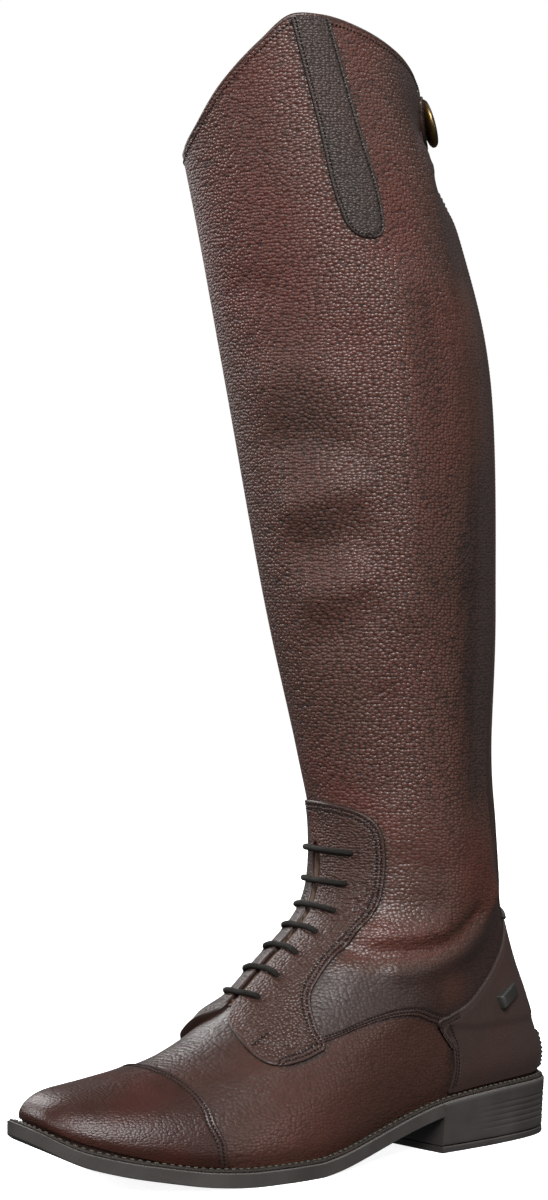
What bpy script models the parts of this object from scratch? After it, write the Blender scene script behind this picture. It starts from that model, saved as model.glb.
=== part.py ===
"""Lace-up riding boot for the left foot, standing on its sole.

The toe points to -Y, the outer side faces +X and up is +Z. Tables are in millimetres, meshes in metres.
The boot's form is a stack of loops round the last. Each row of SECTIONS is one loop, from its point on the
front line to its point on the back line, and a level is a place in that table. A turn says how far round
a loop a point lies: 0 is the front line, 1 the back line by the outer side, and 2 the front line again.
"""
import math
from collections import namedtuple

import bmesh
import bpy
import numpy as np

MM = 0.001

# Driving dimensions
WALL = 2.0
GAP = 0.4
OVERLAY = 1.4
SOLE_EDGE = 6.0
LEDGE = 4.5
TOE_LEDGE = 2.0
TOE_LEDGE_FROM_Y = -200.0
TOE_LEDGE_FULL_Y = -222.0
HEEL_BREAST_Y = -38.0
HEEL_LIFT = 2.8
RIB_DEPTH = 0.5
WELT_HEIGHT = 1.3
WELT_MARGIN = 0.9
WELT_EDGE_SHARE = 0.7
INSOLE = 2.8
TONGUE = 1.6
SLIT_HALF = 2.0
LACE_DIAMETER = 2.5
ZIP_HALF = 3.6
ZIP_HEIGHT = 1.0
GUARD_WIDTH = 10.0
GUARD_HEIGHT = 1.2
SNAP_DIAMETER = 19.0
SNAP_HEIGHT = 3.6
SNAP_BEVEL = 0.9
SNAP_SIDES = 24
SPUR_HEIGHT = 3.4
GRIP_HEIGHT = 1.3
GRIP_RIB = 0.7

# Loops of the last: the front and back points, then the half widths on the outer and the inner side
Section = namedtuple("Section", "name front_y front_z back_y back_z front_x mid_x turn follow front_round "
                     "back_round out_toe out_ball out_waist out_heel in_toe in_ball in_waist in_heel")
SECTIONS = [
    Section("feather", -222.0, 23.5, 36.0, 25.0, -3, 0, 0, 1.0, 3.8, 3.0, 25, 44, 32, 29, 23, 39, 28, 29),
    Section("wall", -222.6, 30.7, 37.0, 36.0, -3, 0, 0, 1.0, 3.6, 3.0, 26, 46, 35, 32, 24, 41, 31, 31),
    Section("toe_top", -214.8, 36.4, 32.0, 50.0, -3, 0, 0, 0.85, 3.2, 3.0, 25, 44, 37, 32, 24, 39, 33, 31),
    Section("cap", -194.0, 40.3, 26.5, 64.0, -3, 0, 0, 0.6, 2.8, 3.0, 23, 39, 37, 31, 22, 35, 34, 30),
    Section("vamp", -164.0, 45.6, 21.0, 77.0, -2, 0, 0, 0.4, 2.5, 2.9, 23, 35, 37, 30, 22, 32, 34, 29),
    Section("throat", -134.0, 59.5, 16.0, 90.0, -1, 0, 1, 0.2, 2.4, 2.8, 23, 33, 36, 29, 22, 31, 34, 28),
    Section("instep", -106.0, 80.0, 11.0, 103.0, 0, 0, 4, 0.1, 2.3, 2.6, 26, 33, 35, 29, 25, 32, 34, 28),
    Section("flex", -80.5, 104.0, 9.5, 117.0, 0, 0, 8, 0, 2.2, 2.4, 29, 34, 35, 30, 28, 33, 34, 29),
    Section("ankle", -75.5, 136.0, 7.0, 138.0, 0, 0, 12, 0, 2.1, 2.3, 32, 36, 36, 32, 31, 35, 35, 31),
    Section("gaiter", -79.7, 170.0, 5.2, 170.0, 0, -1.5, 14, 0, 2.05, 2.2, 34, 38, 38, 35, 33, 37, 37, 34),
    Section("shin", -94.0, 235.0, 7.0, 232.0, 0, -3.5, 17, 0, 2.0, 2.1, 40, 44, 44, 42, 39, 43, 43, 41),
    Section("calf", -110.5, 330.0, 4.0, 330.0, 0, -7.0, 22, 0, 2.0, 2.1, 46, 51, 51, 48, 45, 50, 50, 47),
    Section("knee", -124.0, 402.0, -14.0, 400.0, 0, -11.0, 26, 0, 2.0, 2.1, 48, 52, 52, 48, 47, 51, 51, 47),
    Section("crown", -143.0, 490.0, -40.0, 490.0, 0, -17.5, 28, 0, 2.0, 2.1, 45, 49, 49, 45, 44, 48, 48, 44),
]
# Places of those widths along a loop, and how early a loop swells from its toe to its ball
STATIONS = (0.0, 0.34, 0.62, 0.88)
TOE_SWELL = 0.75
LAST_LEVEL = len(SECTIONS) - 1
CALF_LEVEL = 11

# Height of the collar's edge round the shaft
Collar = namedtuple("Collar", "turn z")
COLLAR = [
    Collar(0.00, 424.5), Collar(0.10, 432.0), Collar(0.24, 449.0), Collar(0.37, 464.0), Collar(0.47, 474.5),
    Collar(0.55, 475.0), Collar(0.67, 471.0), Collar(0.80, 464.0), Collar(0.92, 455.0), Collar(1.00, 449.0),
    Collar(1.20, 440.0), Collar(1.50, 431.0), Collar(1.80, 423.0), Collar(2.00, 424.5),
]

# Top of the sole along the foot: toe spring, flat ball, rising waist and heel seat
Seat = namedtuple("Seat", "y z")
SEAT = [
    Seat(-238, 32.6), Seat(-229, 27.2), Seat(-218, 21.2), Seat(-205, 16.6), Seat(-190, 12.2), Seat(-175, 8.7),
    Seat(-160, 6.8), Seat(-147, 6.0), Seat(-113, 6.0), Seat(-100, 7.6), Seat(-85, 10.6), Seat(-70, 14.2),
    Seat(-55, 18.0), Seat(-40, 21.2), Seat(-20, 23.2), Seat(0, 24.2), Seat(45, 24.6),
]

# The toe rolls outward: its outer side lies lower than its inner side
TOE_ROLL = 0.10
ROLL_FROM_Y = -175.0
ROLL_FULL_Y = -225.0

# Levels and columns of the upper's shell
UPPER_LEVELS = [
    0.0, 0.35, 0.75, 1.1, 1.5, 1.9, 2.3, 2.7, 3.1, 3.5, 3.9, 4.3, 4.7, 5.05, 5.35, 5.75, 6.15, 6.55, 6.95,
    7.35, 7.85, 8.3, 8.8, 9.4, 10.0, 10.5, 11.0, 11.5, 12.0, 12.5, 13.0,
]
SLIT_LEVELS = (5.35, 7.85)
HALF_COLUMNS = 20
COLUMN_CLUSTER = 0.45
FOOT_LEVEL = 0.24

# The lower edge of the toe cap rises over the turned-up tip of the sole
TOE_RISE = 0.36
TOE_RISE_TURN = 0.2

# Overlays: a level, and millimetres from the front line or from the back line on each side
Band = namedtuple("Band", "level near far")
TOE_CAP = [
    Band(FOOT_LEVEL, 0, 86.0), Band(0.75, 0, 85.5), Band(1.1, 0, 84.0), Band(1.5, 0, 79.5),
    Band(1.9, 0, 72.5), Band(2.3, 0, 64.5), Band(2.7, 0, 53.5), Band(3.1, 0, 39.5), Band(3.5, 0, 24.0),
    Band(3.7, 0, 15.0), Band(3.9, 0, 4.0),
]
COUNTER = [
    Band(FOOT_LEVEL, -83.0, 83.0), Band(0.35, -83.5, 83.5), Band(0.75, -84.0, 84.0), Band(1.1, -84.0, 84.0),
    Band(1.5, -82.5, 82.5), Band(1.9, -81.5, 81.5), Band(2.3, -82.0, 82.0), Band(2.7, -85.0, 85.0),
    Band(3.0, -86.5, 86.5), Band(3.1, -79.0, 79.0), Band(3.5, -59.5, 59.5), Band(3.9, -48.5, 48.5),
    Band(4.3, -37.5, 37.5), Band(4.7, -28.5, 28.5), Band(5.05, -22.0, 22.0), Band(5.35, -16.5, 16.5),
    Band(5.55, -12.0, 12.0),
]
FACING = [
    Band(3.38, 71.0, 78.0), Band(3.5, 63.0, 82.0), Band(3.7, 55.0, 84.0), Band(3.9, 46.5, 77.5),
    Band(4.3, 32.0, 64.0), Band(4.7, 18.5, 52.0), Band(5.05, 7.0, 42.5), Band(5.35, SLIT_HALF, 36.0),
    Band(5.75, SLIT_HALF, 32.0), Band(6.15, SLIT_HALF, 31.0), Band(6.55, SLIT_HALF, 34.0),
    Band(6.95, SLIT_HALF, 34.0), Band(7.35, SLIT_HALF, 33.7), Band(7.85, SLIT_HALF, 35.2),
    Band(8.0, SLIT_HALF, 34.7), Band(8.15, SLIT_HALF, 32.5), Band(8.3, SLIT_HALF, 27.5),
    Band(8.4, SLIT_HALF, 19.0),
]
TONGUE_ROWS = [
    Band(5.0, 0, 13.0), Band(5.35, 0, 17.0), Band(5.75, 0, 19.0), Band(6.15, 0, 20.5), Band(6.55, 0, 22.0),
    Band(6.95, 0, 23.0), Band(7.35, 0, 24.0), Band(7.85, 0, 25.0), Band(8.3, 0, 25.0),
]

# Lace bars from the top down: a level, and millimetres from the front line to the hole on each side
Lace = namedtuple("Lace", "level reach")
LACES = [
    Lace(7.75, 21.5), Lace(7.34, 18.8), Lace(6.96, 16.6), Lace(6.62, 14.0), Lace(6.26, 13.2),
    Lace(5.87, 13.4), Lace(5.47, 13.2),
]
LACE_POINTS = 8

# Side tab on the shaft, about its own centre line
Tab = namedtuple("Tab", "level half_width")
SIDE_TAB = [
    Tab(11.84, 3.5), Tab(11.87, 6.2), Tab(11.92, 8.2), Tab(12.0, 9.3), Tab(12.25, 9.3), Tab(12.5, 9.3),
    Tab(12.75, 9.3), Tab(12.97, 9.3),
]
SIDE_TAB_TURN = 0.52

# Zip at the back of the shaft and the tab that closes over its top
ZIP_LEVELS = [5.75, 6.15, 6.55, 6.95, 7.35, 7.85, 8.3, 8.8, 9.4, 10.0, 10.5, 11.0, 11.5, 12.0, 12.5, 12.96]
SNAP_TAB = [
    Band(12.70, 0.0, 8.0), Band(12.72, -8.0, 13.0), Band(12.76, -12.0, 15.4), Band(12.80, -13.0, 16.0),
    Band(12.84, -13.0, 16.0), Band(12.88, -12.0, 15.4), Band(12.92, -8.0, 13.0), Band(12.94, 0.0, 8.0),
]
SNAP_LEVEL = 12.82
SNAP_BACK = 5.0

# Spur rest in the counter, rising towards the back, and the ridged grip above the heel
SPUR_BACK = (22.0, 42.0)
SPUR_LEVELS = (3.18, 2.94)
SPUR_HALF_LEVEL = 0.24
SPUR_COLUMNS = 5
SPUR_ROWS = 3
GRIP_LEVELS = (0.3, 1.6)
GRIP_ROWS = 13
GRIP_HALF = 8.5
GRIP_COLUMNS = 4

# Stations along the sole, as shares of its length, and their distances from its ends and its heel's breast
SOLE_STATIONS = 34
STATION_CLUSTER = 0.6
STATION_END = 0.0006
BREAST_CLEAR = 0.01
INSOLE_END = 0.004

# Rows of the sole's side from its top edge to its tread: a share of its height, an inset and a rib's depth
SideRow = namedtuple("SideRow", "share inset rib")
SOLE_BEVEL = 0.5
RIB_SHARES = (0.34, 0.40, 0.46, 0.52, 0.58, 0.64, 0.70, 0.76, 0.82)
SIDE_ROWS = [
    SideRow(0.0, SOLE_BEVEL, 0.0), SideRow(0.06, 0.0, 0.0), SideRow(0.28, 0.0, 0.0),
    *(SideRow(share, 0.0, RIB_DEPTH * (k % 2 == 0)) for k, share in enumerate(RIB_SHARES)),
    SideRow(0.90, 0.0, 0.0), SideRow(1.0, 0.0, 0.0),
]
HEEL_TAPER = 1.2

LEATHER = (0.070, 0.030, 0.024)
CAP_LEATHER = (0.085, 0.024, 0.018)
TAB_LEATHER = (0.050, 0.033, 0.030)
RUBBER = (0.045, 0.042, 0.040)
DARK_RUBBER = (0.018, 0.018, 0.016)
WELT_COLOUR = (0.022, 0.017, 0.014)
LINING = (0.11, 0.070, 0.048)
LACE_COLOUR = (0.026, 0.022, 0.018)
BRONZE = (0.30, 0.21, 0.10)


def hermite(xs, ys, x):
    """Smooth curve through the points of a table, read at x."""
    xs, ys, x = (np.asarray(a, float) for a in (xs, ys, x))
    span = np.diff(xs)
    flat = (-1,) + (1,) * (ys.ndim - 1)
    slope = np.diff(ys, axis=0) / span.reshape(flat)
    lean = (span[1:] / (span[1:] + span[:-1])).reshape(flat)
    tangent = np.concatenate([slope[:1], slope[:-1] * lean + slope[1:] * (1 - lean), slope[-1:]])
    i = np.clip(np.searchsorted(xs, x, side="right") - 1, 0, len(xs) - 2)
    t = ((x - xs[i]) / span[i]).reshape(x.shape + (1,) * (ys.ndim - 1))
    step = span[i].reshape(t.shape)
    rise = 3 * t**2 - 2 * t**3
    start = (t**3 - 2 * t**2 + t) * step * tangent[i]
    end = (t**3 - t**2) * step * tangent[i + 1]
    return (1 - rise) * ys[i] + rise * ys[i + 1] + start + end


def seat_z(y):
    """Height of the sole's top at y, never under the sole's own thickness."""
    table = np.array(SEAT)
    z = hermite(table[:, 0], table[:, 1], np.clip(y, table[0, 0], table[-1, 0]))
    return np.maximum(z, SOLE_EDGE)


def toe_roll(points):
    """Lower the outer side of the toe and raise its inner side."""
    points = np.array(points, float)
    share = np.clip((points[..., 1] - ROLL_FROM_Y) / (ROLL_FULL_Y - ROLL_FROM_Y), 0, 1)
    points[..., 2] -= TOE_ROLL * share**2 * (3 - 2 * share) * points[..., 0]
    return points


def half_loop(level, side, count):
    """One side of a loop, from the front line to the back line, at count + 1 even steps of its length."""
    table = np.array([row[1:] for row in SECTIONS], float)
    row = Section("", *hermite(np.arange(len(SECTIONS)), table, np.array([level]))[0])
    along = (1 - np.cos(np.linspace(0, math.pi, 241))) / 2
    y = row.front_y + (row.back_y - row.front_y) * along
    sag = seat_z(y)
    sag = sag - ((1 - along) * sag[0] + along * sag[-1])
    z = row.front_z + (row.back_z - row.front_z) * along + min(max(row.follow, 0), 1) * sag
    power = np.where(along < 0.5, row.front_round, row.back_round)
    rounding = np.maximum(1 - np.abs(2 * along - 1) ** power, 0) ** (1 / power)
    outer = (row.out_toe, row.out_ball, row.out_waist, row.out_heel)
    inner = (row.in_toe, row.in_ball, row.in_waist, row.in_heel)
    ball = STATIONS[1]
    reach = np.where(along < ball, ball * (along / ball) ** TOE_SWELL, np.minimum(along, STATIONS[-1]))
    fullness = hermite(STATIONS, outer if side > 0 else inner, reach)
    x = row.front_x * (1 - along) ** 2 + side * rounding * fullness
    angle = -math.radians(row.turn)
    mid_y = (row.front_y + row.back_y) / 2
    turned_x = x * math.cos(angle) - (y - mid_y) * math.sin(angle) + row.mid_x
    turned_y = x * math.sin(angle) + (y - mid_y) * math.cos(angle) + mid_y
    points = toe_roll(np.stack([turned_x, turned_y, z], 1))
    run = np.concatenate([[0], np.cumsum(np.linalg.norm(np.diff(points, axis=0), axis=1))])
    steps = np.linspace(0, run[-1], count + 1)
    return np.stack([np.interp(steps, run, points[:, k]) for k in range(3)], 1)


class Form:
    """The outer surface of the last, sampled once and read at any level and turn."""

    HALF = 120
    STEP = 0.05

    def __init__(self):
        self.levels = np.arange(0, LAST_LEVEL + self.STEP / 2, self.STEP)
        loops = [self.loop(level) for level in self.levels]
        self.points = self.cut_at_collar(np.array(loops))
        ahead = np.roll(self.points, -1, axis=1) - np.roll(self.points, 1, axis=1)
        upward = np.gradient(self.points, axis=0)
        normals = np.cross(ahead, upward)
        self.normals = normals / np.linalg.norm(normals, axis=2, keepdims=True)
        closed = np.concatenate([self.points, self.points[:, :1]], axis=1)
        steps = np.linalg.norm(np.diff(closed, axis=1), axis=2)
        self.outer_half = steps[:, :self.HALF].sum(axis=1)
        self.inner_half = steps[:, self.HALF:].sum(axis=1)

    def loop(self, level):
        outer = half_loop(level, 1, self.HALF)
        inner = half_loop(level, -1, self.HALF)
        return np.concatenate([outer, inner[-2:0:-1]])

    def cut_at_collar(self, loops):
        """Shorten every column above the calf so that the last level lies on the collar's edge."""
        first = int(round(CALF_LEVEL / self.STEP))
        turns = np.arange(loops.shape[1]) / self.HALF
        table = np.array(COLLAR)
        edge = hermite(table[:, 0], table[:, 1], turns)
        top = self.levels[first:]
        cut = loops.copy()
        for column in range(loops.shape[1]):
            rise = loops[first:, column]
            end = np.interp(edge[column], rise[:, 2], top)
            wanted = CALF_LEVEL + (top - CALF_LEVEL) * (end - CALF_LEVEL) / (LAST_LEVEL - CALF_LEVEL)
            cut[first:, column] = np.stack([np.interp(wanted, top, rise[:, k]) for k in range(3)], 1)
        return cut

    def read(self, field, level, turn):
        row = np.clip(np.asarray(level, float) / self.STEP, 0, len(self.levels) - 1)
        low = np.minimum(row.astype(int), len(self.levels) - 2)
        up = (row - low)[..., None]
        column = np.mod(np.asarray(turn, float), 2) * self.HALF
        left = column.astype(int)
        across = (column - left)[..., None]
        left = left % (2 * self.HALF)
        right = (left + 1) % (2 * self.HALF)
        lower = field[low, left] * (1 - across) + field[low, right] * across
        upper = field[low + 1, left] * (1 - across) + field[low + 1, right] * across
        return lower * (1 - up) + upper * up

    def at(self, level, turn, offset=0.0):
        """Points on the form, moved out along its normal by offset."""
        level, turn = np.broadcast_arrays(level, turn)
        normal = self.read(self.normals, level, turn)
        normal = normal / np.linalg.norm(normal, axis=-1, keepdims=True)
        return self.read(self.points, level, turn) + normal * np.asarray(offset)[..., None]

    def from_front(self, level, distance):
        """Turn at a distance from the front line, positive on the outer side."""
        half = self.outer_half if distance >= 0 else self.inner_half
        return distance / np.interp(level, self.levels, half)

    def from_back(self, level, distance):
        """Turn at a distance from the back line, positive on the outer side."""
        half = self.outer_half if distance >= 0 else self.inner_half
        return 1 - distance / np.interp(level, self.levels, half)


FORM = Form()


def clear_scene():
    for item in list(bpy.data.objects):
        bpy.data.objects.remove(item, do_unlink=True)


def make_collection():
    collection = bpy.data.collections.new("lace_up_riding_boot")
    bpy.context.scene.collection.children.link(collection)
    return collection


def make_material(name, colour, roughness, metallic=0.0):
    material = bpy.data.materials.new(name)
    material.use_nodes = True
    shader = material.node_tree.nodes["Principled BSDF"]
    shader.inputs["Base Color"].default_value = (*colour, 1.0)
    shader.inputs["Roughness"].default_value = roughness
    shader.inputs["Metallic"].default_value = metallic
    return material


def add_grids(mesh, grids, closed=False, skipped=()):
    """Loft each grid of points into quads, leaving out the skipped (row, column) cells."""
    for grid in grids:
        verts = [[mesh.verts.new(point * MM) for point in row] for row in grid]
        columns = len(verts[0])
        last = columns if closed else columns - 1
        for i in range(len(verts) - 1):
            for j in range(last):
                if (i, j) in skipped:
                    continue
                k = (j + 1) % columns
                mesh.faces.new((verts[i][j], verts[i][k], verts[i + 1][k], verts[i + 1][j]))


def finish_object(name, mesh, material, collection):
    data = bpy.data.meshes.new(name)
    mesh.to_mesh(data)
    mesh.free()
    data.materials.append(material)
    data.shade_smooth()
    data.set_sharp_from_angle(angle=math.radians(35))
    piece = bpy.data.objects.new(name, data)
    collection.objects.link(piece)
    return piece


def shell_object(name, grids, thickness, outward, material, collection, closed=False, skipped=()):
    """An open surface given its thickness by Solidify, outward or inward."""
    mesh = bmesh.new()
    add_grids(mesh, grids, closed, skipped)
    bmesh.ops.remove_doubles(mesh, verts=mesh.verts, dist=0.01 * MM)
    loose = [vert for vert in mesh.verts if not vert.link_faces]
    bmesh.ops.delete(mesh, geom=loose, context="VERTS")
    piece = finish_object(name, mesh, material, collection)
    solid = piece.modifiers.new("wall", "SOLIDIFY")
    solid.thickness = thickness * MM
    solid.offset = 1.0 if outward else -1.0
    solid.use_even_offset = True
    return piece


def sole_outline(offset):
    """Outer and inner side of the upper's foot line, moved out by offset, each as points along y."""
    ring = FORM.loop(0.0)[:, :2]
    along = np.roll(ring, -1, axis=0) - np.roll(ring, 1, axis=0)
    normal = np.stack([along[:, 1], -along[:, 0]], 1)
    normal /= np.linalg.norm(normal, axis=1, keepdims=True)
    toe = np.clip((ring[:, 1] - TOE_LEDGE_FROM_Y) / (TOE_LEDGE_FULL_Y - TOE_LEDGE_FROM_Y), 0, 1)
    reach = offset + TOE_LEDGE * toe * (offset > 0)
    moved = ring + normal * reach[:, None]
    half = Form.HALF
    return moved[:half + 1], np.concatenate([moved[half:], moved[:1]])[::-1]


def sole_stations():
    """Shares of the sole's length from toe to heel, closer at the ends, with a pair at the heel's breast."""
    even = np.linspace(0, 1, SOLE_STATIONS)
    steps = STATION_CLUSTER * (1 - np.cos(math.pi * even)) / 2 + (1 - STATION_CLUSTER) * even
    steps = np.clip(steps, STATION_END, 1 - STATION_END)
    side = sole_outline(LEDGE)[0]
    breast = (HEEL_BREAST_Y - side[0, 1]) / (side[-1, 1] - side[0, 1])
    kept = steps[np.abs(steps - breast) > BREAST_CLEAR]
    return np.sort(np.concatenate([kept, [breast - STATION_END, breast]])), breast


def outline_points(offset, stations):
    """Points of the two sides of an outline at shares of its length."""
    sides = []
    for side in sole_outline(offset):
        y = side[0, 1] + (side[-1, 1] - side[0, 1]) * stations
        sides.append(np.stack([np.interp(y, side[:, 1], side[:, 0]), y], 1))
    return sides


def slab_object(name, rows, material, collection):
    """A closed slab between rows of (outer side, inner side) points, from its top row to its bottom row."""
    mesh = bmesh.new()
    outer = [[mesh.verts.new(p * MM) for p in row[0]] for row in rows]
    inner = [[mesh.verts.new(p * MM) for p in row[1]] for row in rows]
    last = len(rows) - 1
    count = len(outer[0])
    for i in range(last):
        for j in range(count - 1):
            mesh.faces.new((outer[i][j], outer[i + 1][j], outer[i + 1][j + 1], outer[i][j + 1]))
            mesh.faces.new((inner[i][j], inner[i][j + 1], inner[i + 1][j + 1], inner[i + 1][j]))
        mesh.faces.new((outer[i][0], inner[i][0], inner[i + 1][0], outer[i + 1][0]))
        mesh.faces.new((outer[i][-1], outer[i + 1][-1], inner[i + 1][-1], inner[i][-1]))
    for j in range(count - 1):
        mesh.faces.new((outer[0][j], outer[0][j + 1], inner[0][j + 1], inner[0][j]))
        mesh.faces.new((outer[last][j], inner[last][j], inner[last][j + 1], outer[last][j + 1]))
    bmesh.ops.recalc_face_normals(mesh, faces=mesh.faces)
    return finish_object(name, mesh, material, collection)


def slab_row(offset, stations, height):
    """One row of a slab: an outline at the height that a function of y gives."""
    sides = []
    for points in outline_points(offset, stations):
        sides.append(toe_roll(np.column_stack([points, height(points[:, 1])])))
    return sides


def make_outsole(material, collection):
    """Thin sole and the heel's body in one, with ribs that deepen towards the back of the heel."""
    stations, breast = sole_stations()
    on_heel = stations >= breast
    back = np.clip((stations - breast) / (1 - breast), 0, 1)
    lift_top = HEEL_LIFT + GAP
    rows = []
    for row in SIDE_ROWS:
        sides = slab_row(LEDGE - row.inset, stations, seat_z)
        ribbed = slab_row(LEDGE - row.inset - row.rib - HEEL_TAPER * row.share, stations, seat_z)
        for side, heel_side in zip(sides, ribbed):
            blend = np.where(on_heel, np.sqrt(back) if row.rib else 1.0, 0.0)[:, None]
            side[:, :2] = side[:, :2] * (1 - blend) + heel_side[:, :2] * blend
            drop = np.where(on_heel, side[:, 2] - lift_top, SOLE_EDGE)
            side[:, 2] -= drop * row.share
        rows.append(sides)
    slab_object("outsole", rows, material, collection)


def make_heel_lift(material, collection):
    stations, breast = sole_stations()
    stations = stations[stations >= breast]
    rows = []
    for z, inset in ((HEEL_LIFT, 0.0), (SOLE_BEVEL, 0.0), (0.0, SOLE_BEVEL)):
        rows.append(slab_row(LEDGE - HEEL_TAPER - inset, stations, lambda y, z=z: np.full(len(y), z)))
    slab_object("heel_lift", rows, material, collection)


def make_insole(material, collection):
    stations = INSOLE_END + (1 - 2 * INSOLE_END) * sole_stations()[0]
    inset = -(WALL + 2 * GAP)
    rows = []
    for lift in (GAP + INSOLE, GAP):
        rows.append(slab_row(inset, stations, lambda y, lift=lift: seat_z(y) + lift))
    slab_object("insole", rows, material, collection)


def make_welt(material, collection):
    """A strip on the sole's ledge, closed round the foot of the upper."""
    turns = upper_turns(0.0)
    inside = FORM.at(FOOT_LEVEL, turns, GAP)
    outer, inner = sole_outline(LEDGE - WELT_MARGIN)
    ring = np.concatenate([outer, inner[-2::-1]])
    place = turns * Form.HALF
    outside = np.stack([np.interp(place, np.arange(len(ring)), ring[:, k]) for k in range(2)], 1)
    edge_lift = GAP + WELT_EDGE_SHARE * WELT_HEIGHT
    corners = []
    for flat, lift in ((inside, GAP), (outside, GAP), (outside, edge_lift), (inside, GAP + WELT_HEIGHT)):
        corners.append(toe_roll(np.column_stack([flat[:, :2], seat_z(flat[:, 1]) + lift])))
    corners.append(corners[0])
    mesh = bmesh.new()
    add_grids(mesh, [np.array(corners)], closed=True)
    bmesh.ops.remove_doubles(mesh, verts=mesh.verts, dist=0.001 * MM)
    bmesh.ops.recalc_face_normals(mesh, faces=mesh.faces)
    finish_object("welt", mesh, material, collection)


def upper_turns(level):
    """Turns of the upper's columns: the slit's two edges, then steps that are closer at toe and heel."""
    even = np.linspace(0, 1, HALF_COLUMNS + 1)
    steps = COLUMN_CLUSTER * (1 - np.cos(math.pi * even)) / 2 + (1 - COLUMN_CLUSTER) * even
    outer = FORM.from_front(level, SLIT_HALF)
    inner = -FORM.from_front(level, -SLIT_HALF)
    return np.concatenate([outer + (1 - outer) * steps, 2 - (inner + (1 - inner) * steps)[-2::-1]])


def make_upper(material, collection):
    grid = [FORM.at(level, upper_turns(level)) for level in UPPER_LEVELS]
    last_column = len(grid[0]) - 1
    slit = [i for i, level in enumerate(UPPER_LEVELS) if SLIT_LEVELS[0] <= level < SLIT_LEVELS[1]]
    skipped = {(i, last_column) for i in slit}
    shell_object("upper", [grid], WALL, False, material, collection, closed=True, skipped=skipped)


def patch_grid(rows, offset):
    """Points of a patch between two turns at each level, on the upper's own columns and its two edges."""
    bases = []
    for level, low, high in rows:
        base = upper_turns(level)
        if low < 0:
            base = np.concatenate([base[base > 1] - 2, base[base <= 1]])
        bases.append(base)
    inside = [(base > low) & (base < high) for base, (_, low, high) in zip(bases, rows)]
    used = np.any(inside, axis=0)
    grid = []
    for base, (level, low, high) in zip(bases, rows):
        turns = np.concatenate([[low], np.clip(base[used], low, high), [high]])
        rise = TOE_RISE * np.maximum(0, 1 - (turns / TOE_RISE_TURN) ** 2) * (level == FOOT_LEVEL)
        grid.append(FORM.at(level + rise, turns, offset))
    return grid


def front_rows(bands):
    return [(b.level, FORM.from_front(b.level, -b.far), FORM.from_front(b.level, b.far)) for b in bands]


def back_rows(bands):
    return [(b.level, FORM.from_back(b.level, b.far), FORM.from_back(b.level, b.near)) for b in bands]


def make_tongue(material, collection):
    grid = patch_grid(front_rows(TONGUE_ROWS), -(WALL + GAP))
    shell_object("tongue", [grid], TONGUE, False, material, collection)


def make_overlays(materials, collection):
    cap = patch_grid(front_rows(TOE_CAP), GAP)
    shell_object("toe_cap", [cap], OVERLAY, True, materials["cap"], collection)
    counter = patch_grid(back_rows(COUNTER), GAP)
    shell_object("heel_counter", [counter], OVERLAY, True, materials["leather"], collection)


def make_facing(material, collection):
    """Two wings beside the throat slit, joined above the top lace."""
    outer = [(b.level, FORM.from_front(b.level, b.near), FORM.from_front(b.level, b.far)) for b in FACING]
    inner = [(b.level, FORM.from_front(b.level, -b.far), FORM.from_front(b.level, -b.near)) for b in FACING]
    closed = [i for i, b in enumerate(FACING) if b.level >= SLIT_LEVELS[1]]
    wings = [patch_grid(outer, GAP), patch_grid(inner, GAP)]
    bridge = [np.array([wings[1][i][-1], wings[0][i][0]]) for i in closed]
    shell_object("lace_facing", wings + [bridge], OVERLAY, True, material, collection)


def make_laces(material, collection):
    centre = 2 * GAP + OVERLAY + LACE_DIAMETER / 2
    for number, lace in enumerate(LACES, start=1):
        reach = np.linspace(-lace.reach, lace.reach, LACE_POINTS)
        turns = np.array([FORM.from_front(lace.level, d) for d in reach])
        route = FORM.at(lace.level, turns, centre) * MM
        curve = bpy.data.curves.new(f"lace_bar_{number}", "CURVE")
        curve.dimensions = "3D"
        curve.bevel_depth = LACE_DIAMETER / 2 * MM
        curve.bevel_resolution = 2
        curve.use_fill_caps = True
        spline = curve.splines.new("POLY")
        spline.points.add(len(route) - 1)
        for point, place in zip(spline.points, route):
            point.co = (*place, 1.0)
        curve.materials.append(material)
        collection.objects.link(bpy.data.objects.new(f"lace_bar_{number}", curve))


def make_side_tab(material, collection):
    rows = []
    for tab in SIDE_TAB:
        share = tab.half_width / np.interp(tab.level, FORM.levels, FORM.outer_half)
        rows.append((tab.level, SIDE_TAB_TURN - share, SIDE_TAB_TURN + share))
    shell_object("side_tab", [patch_grid(rows, GAP)], OVERLAY, True, material, collection)


def back_strip(name, start, end, height, material, collection):
    """A strip along the back line between two distances from it."""
    rows = back_rows([Band(level, start, end) for level in ZIP_LEVELS])
    shell_object(name, [patch_grid(rows, GAP)], height, True, material, collection)


def make_zip(materials, collection):
    near = ZIP_HALF + GAP
    far = near + GUARD_WIDTH
    back_strip("back_zip", -ZIP_HALF, ZIP_HALF, ZIP_HEIGHT, materials["dark"], collection)
    back_strip("zip_guard_lateral", near, far, GUARD_HEIGHT, materials["leather"], collection)
    back_strip("zip_guard_medial", -far, -near, GUARD_HEIGHT, materials["leather"], collection)


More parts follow.
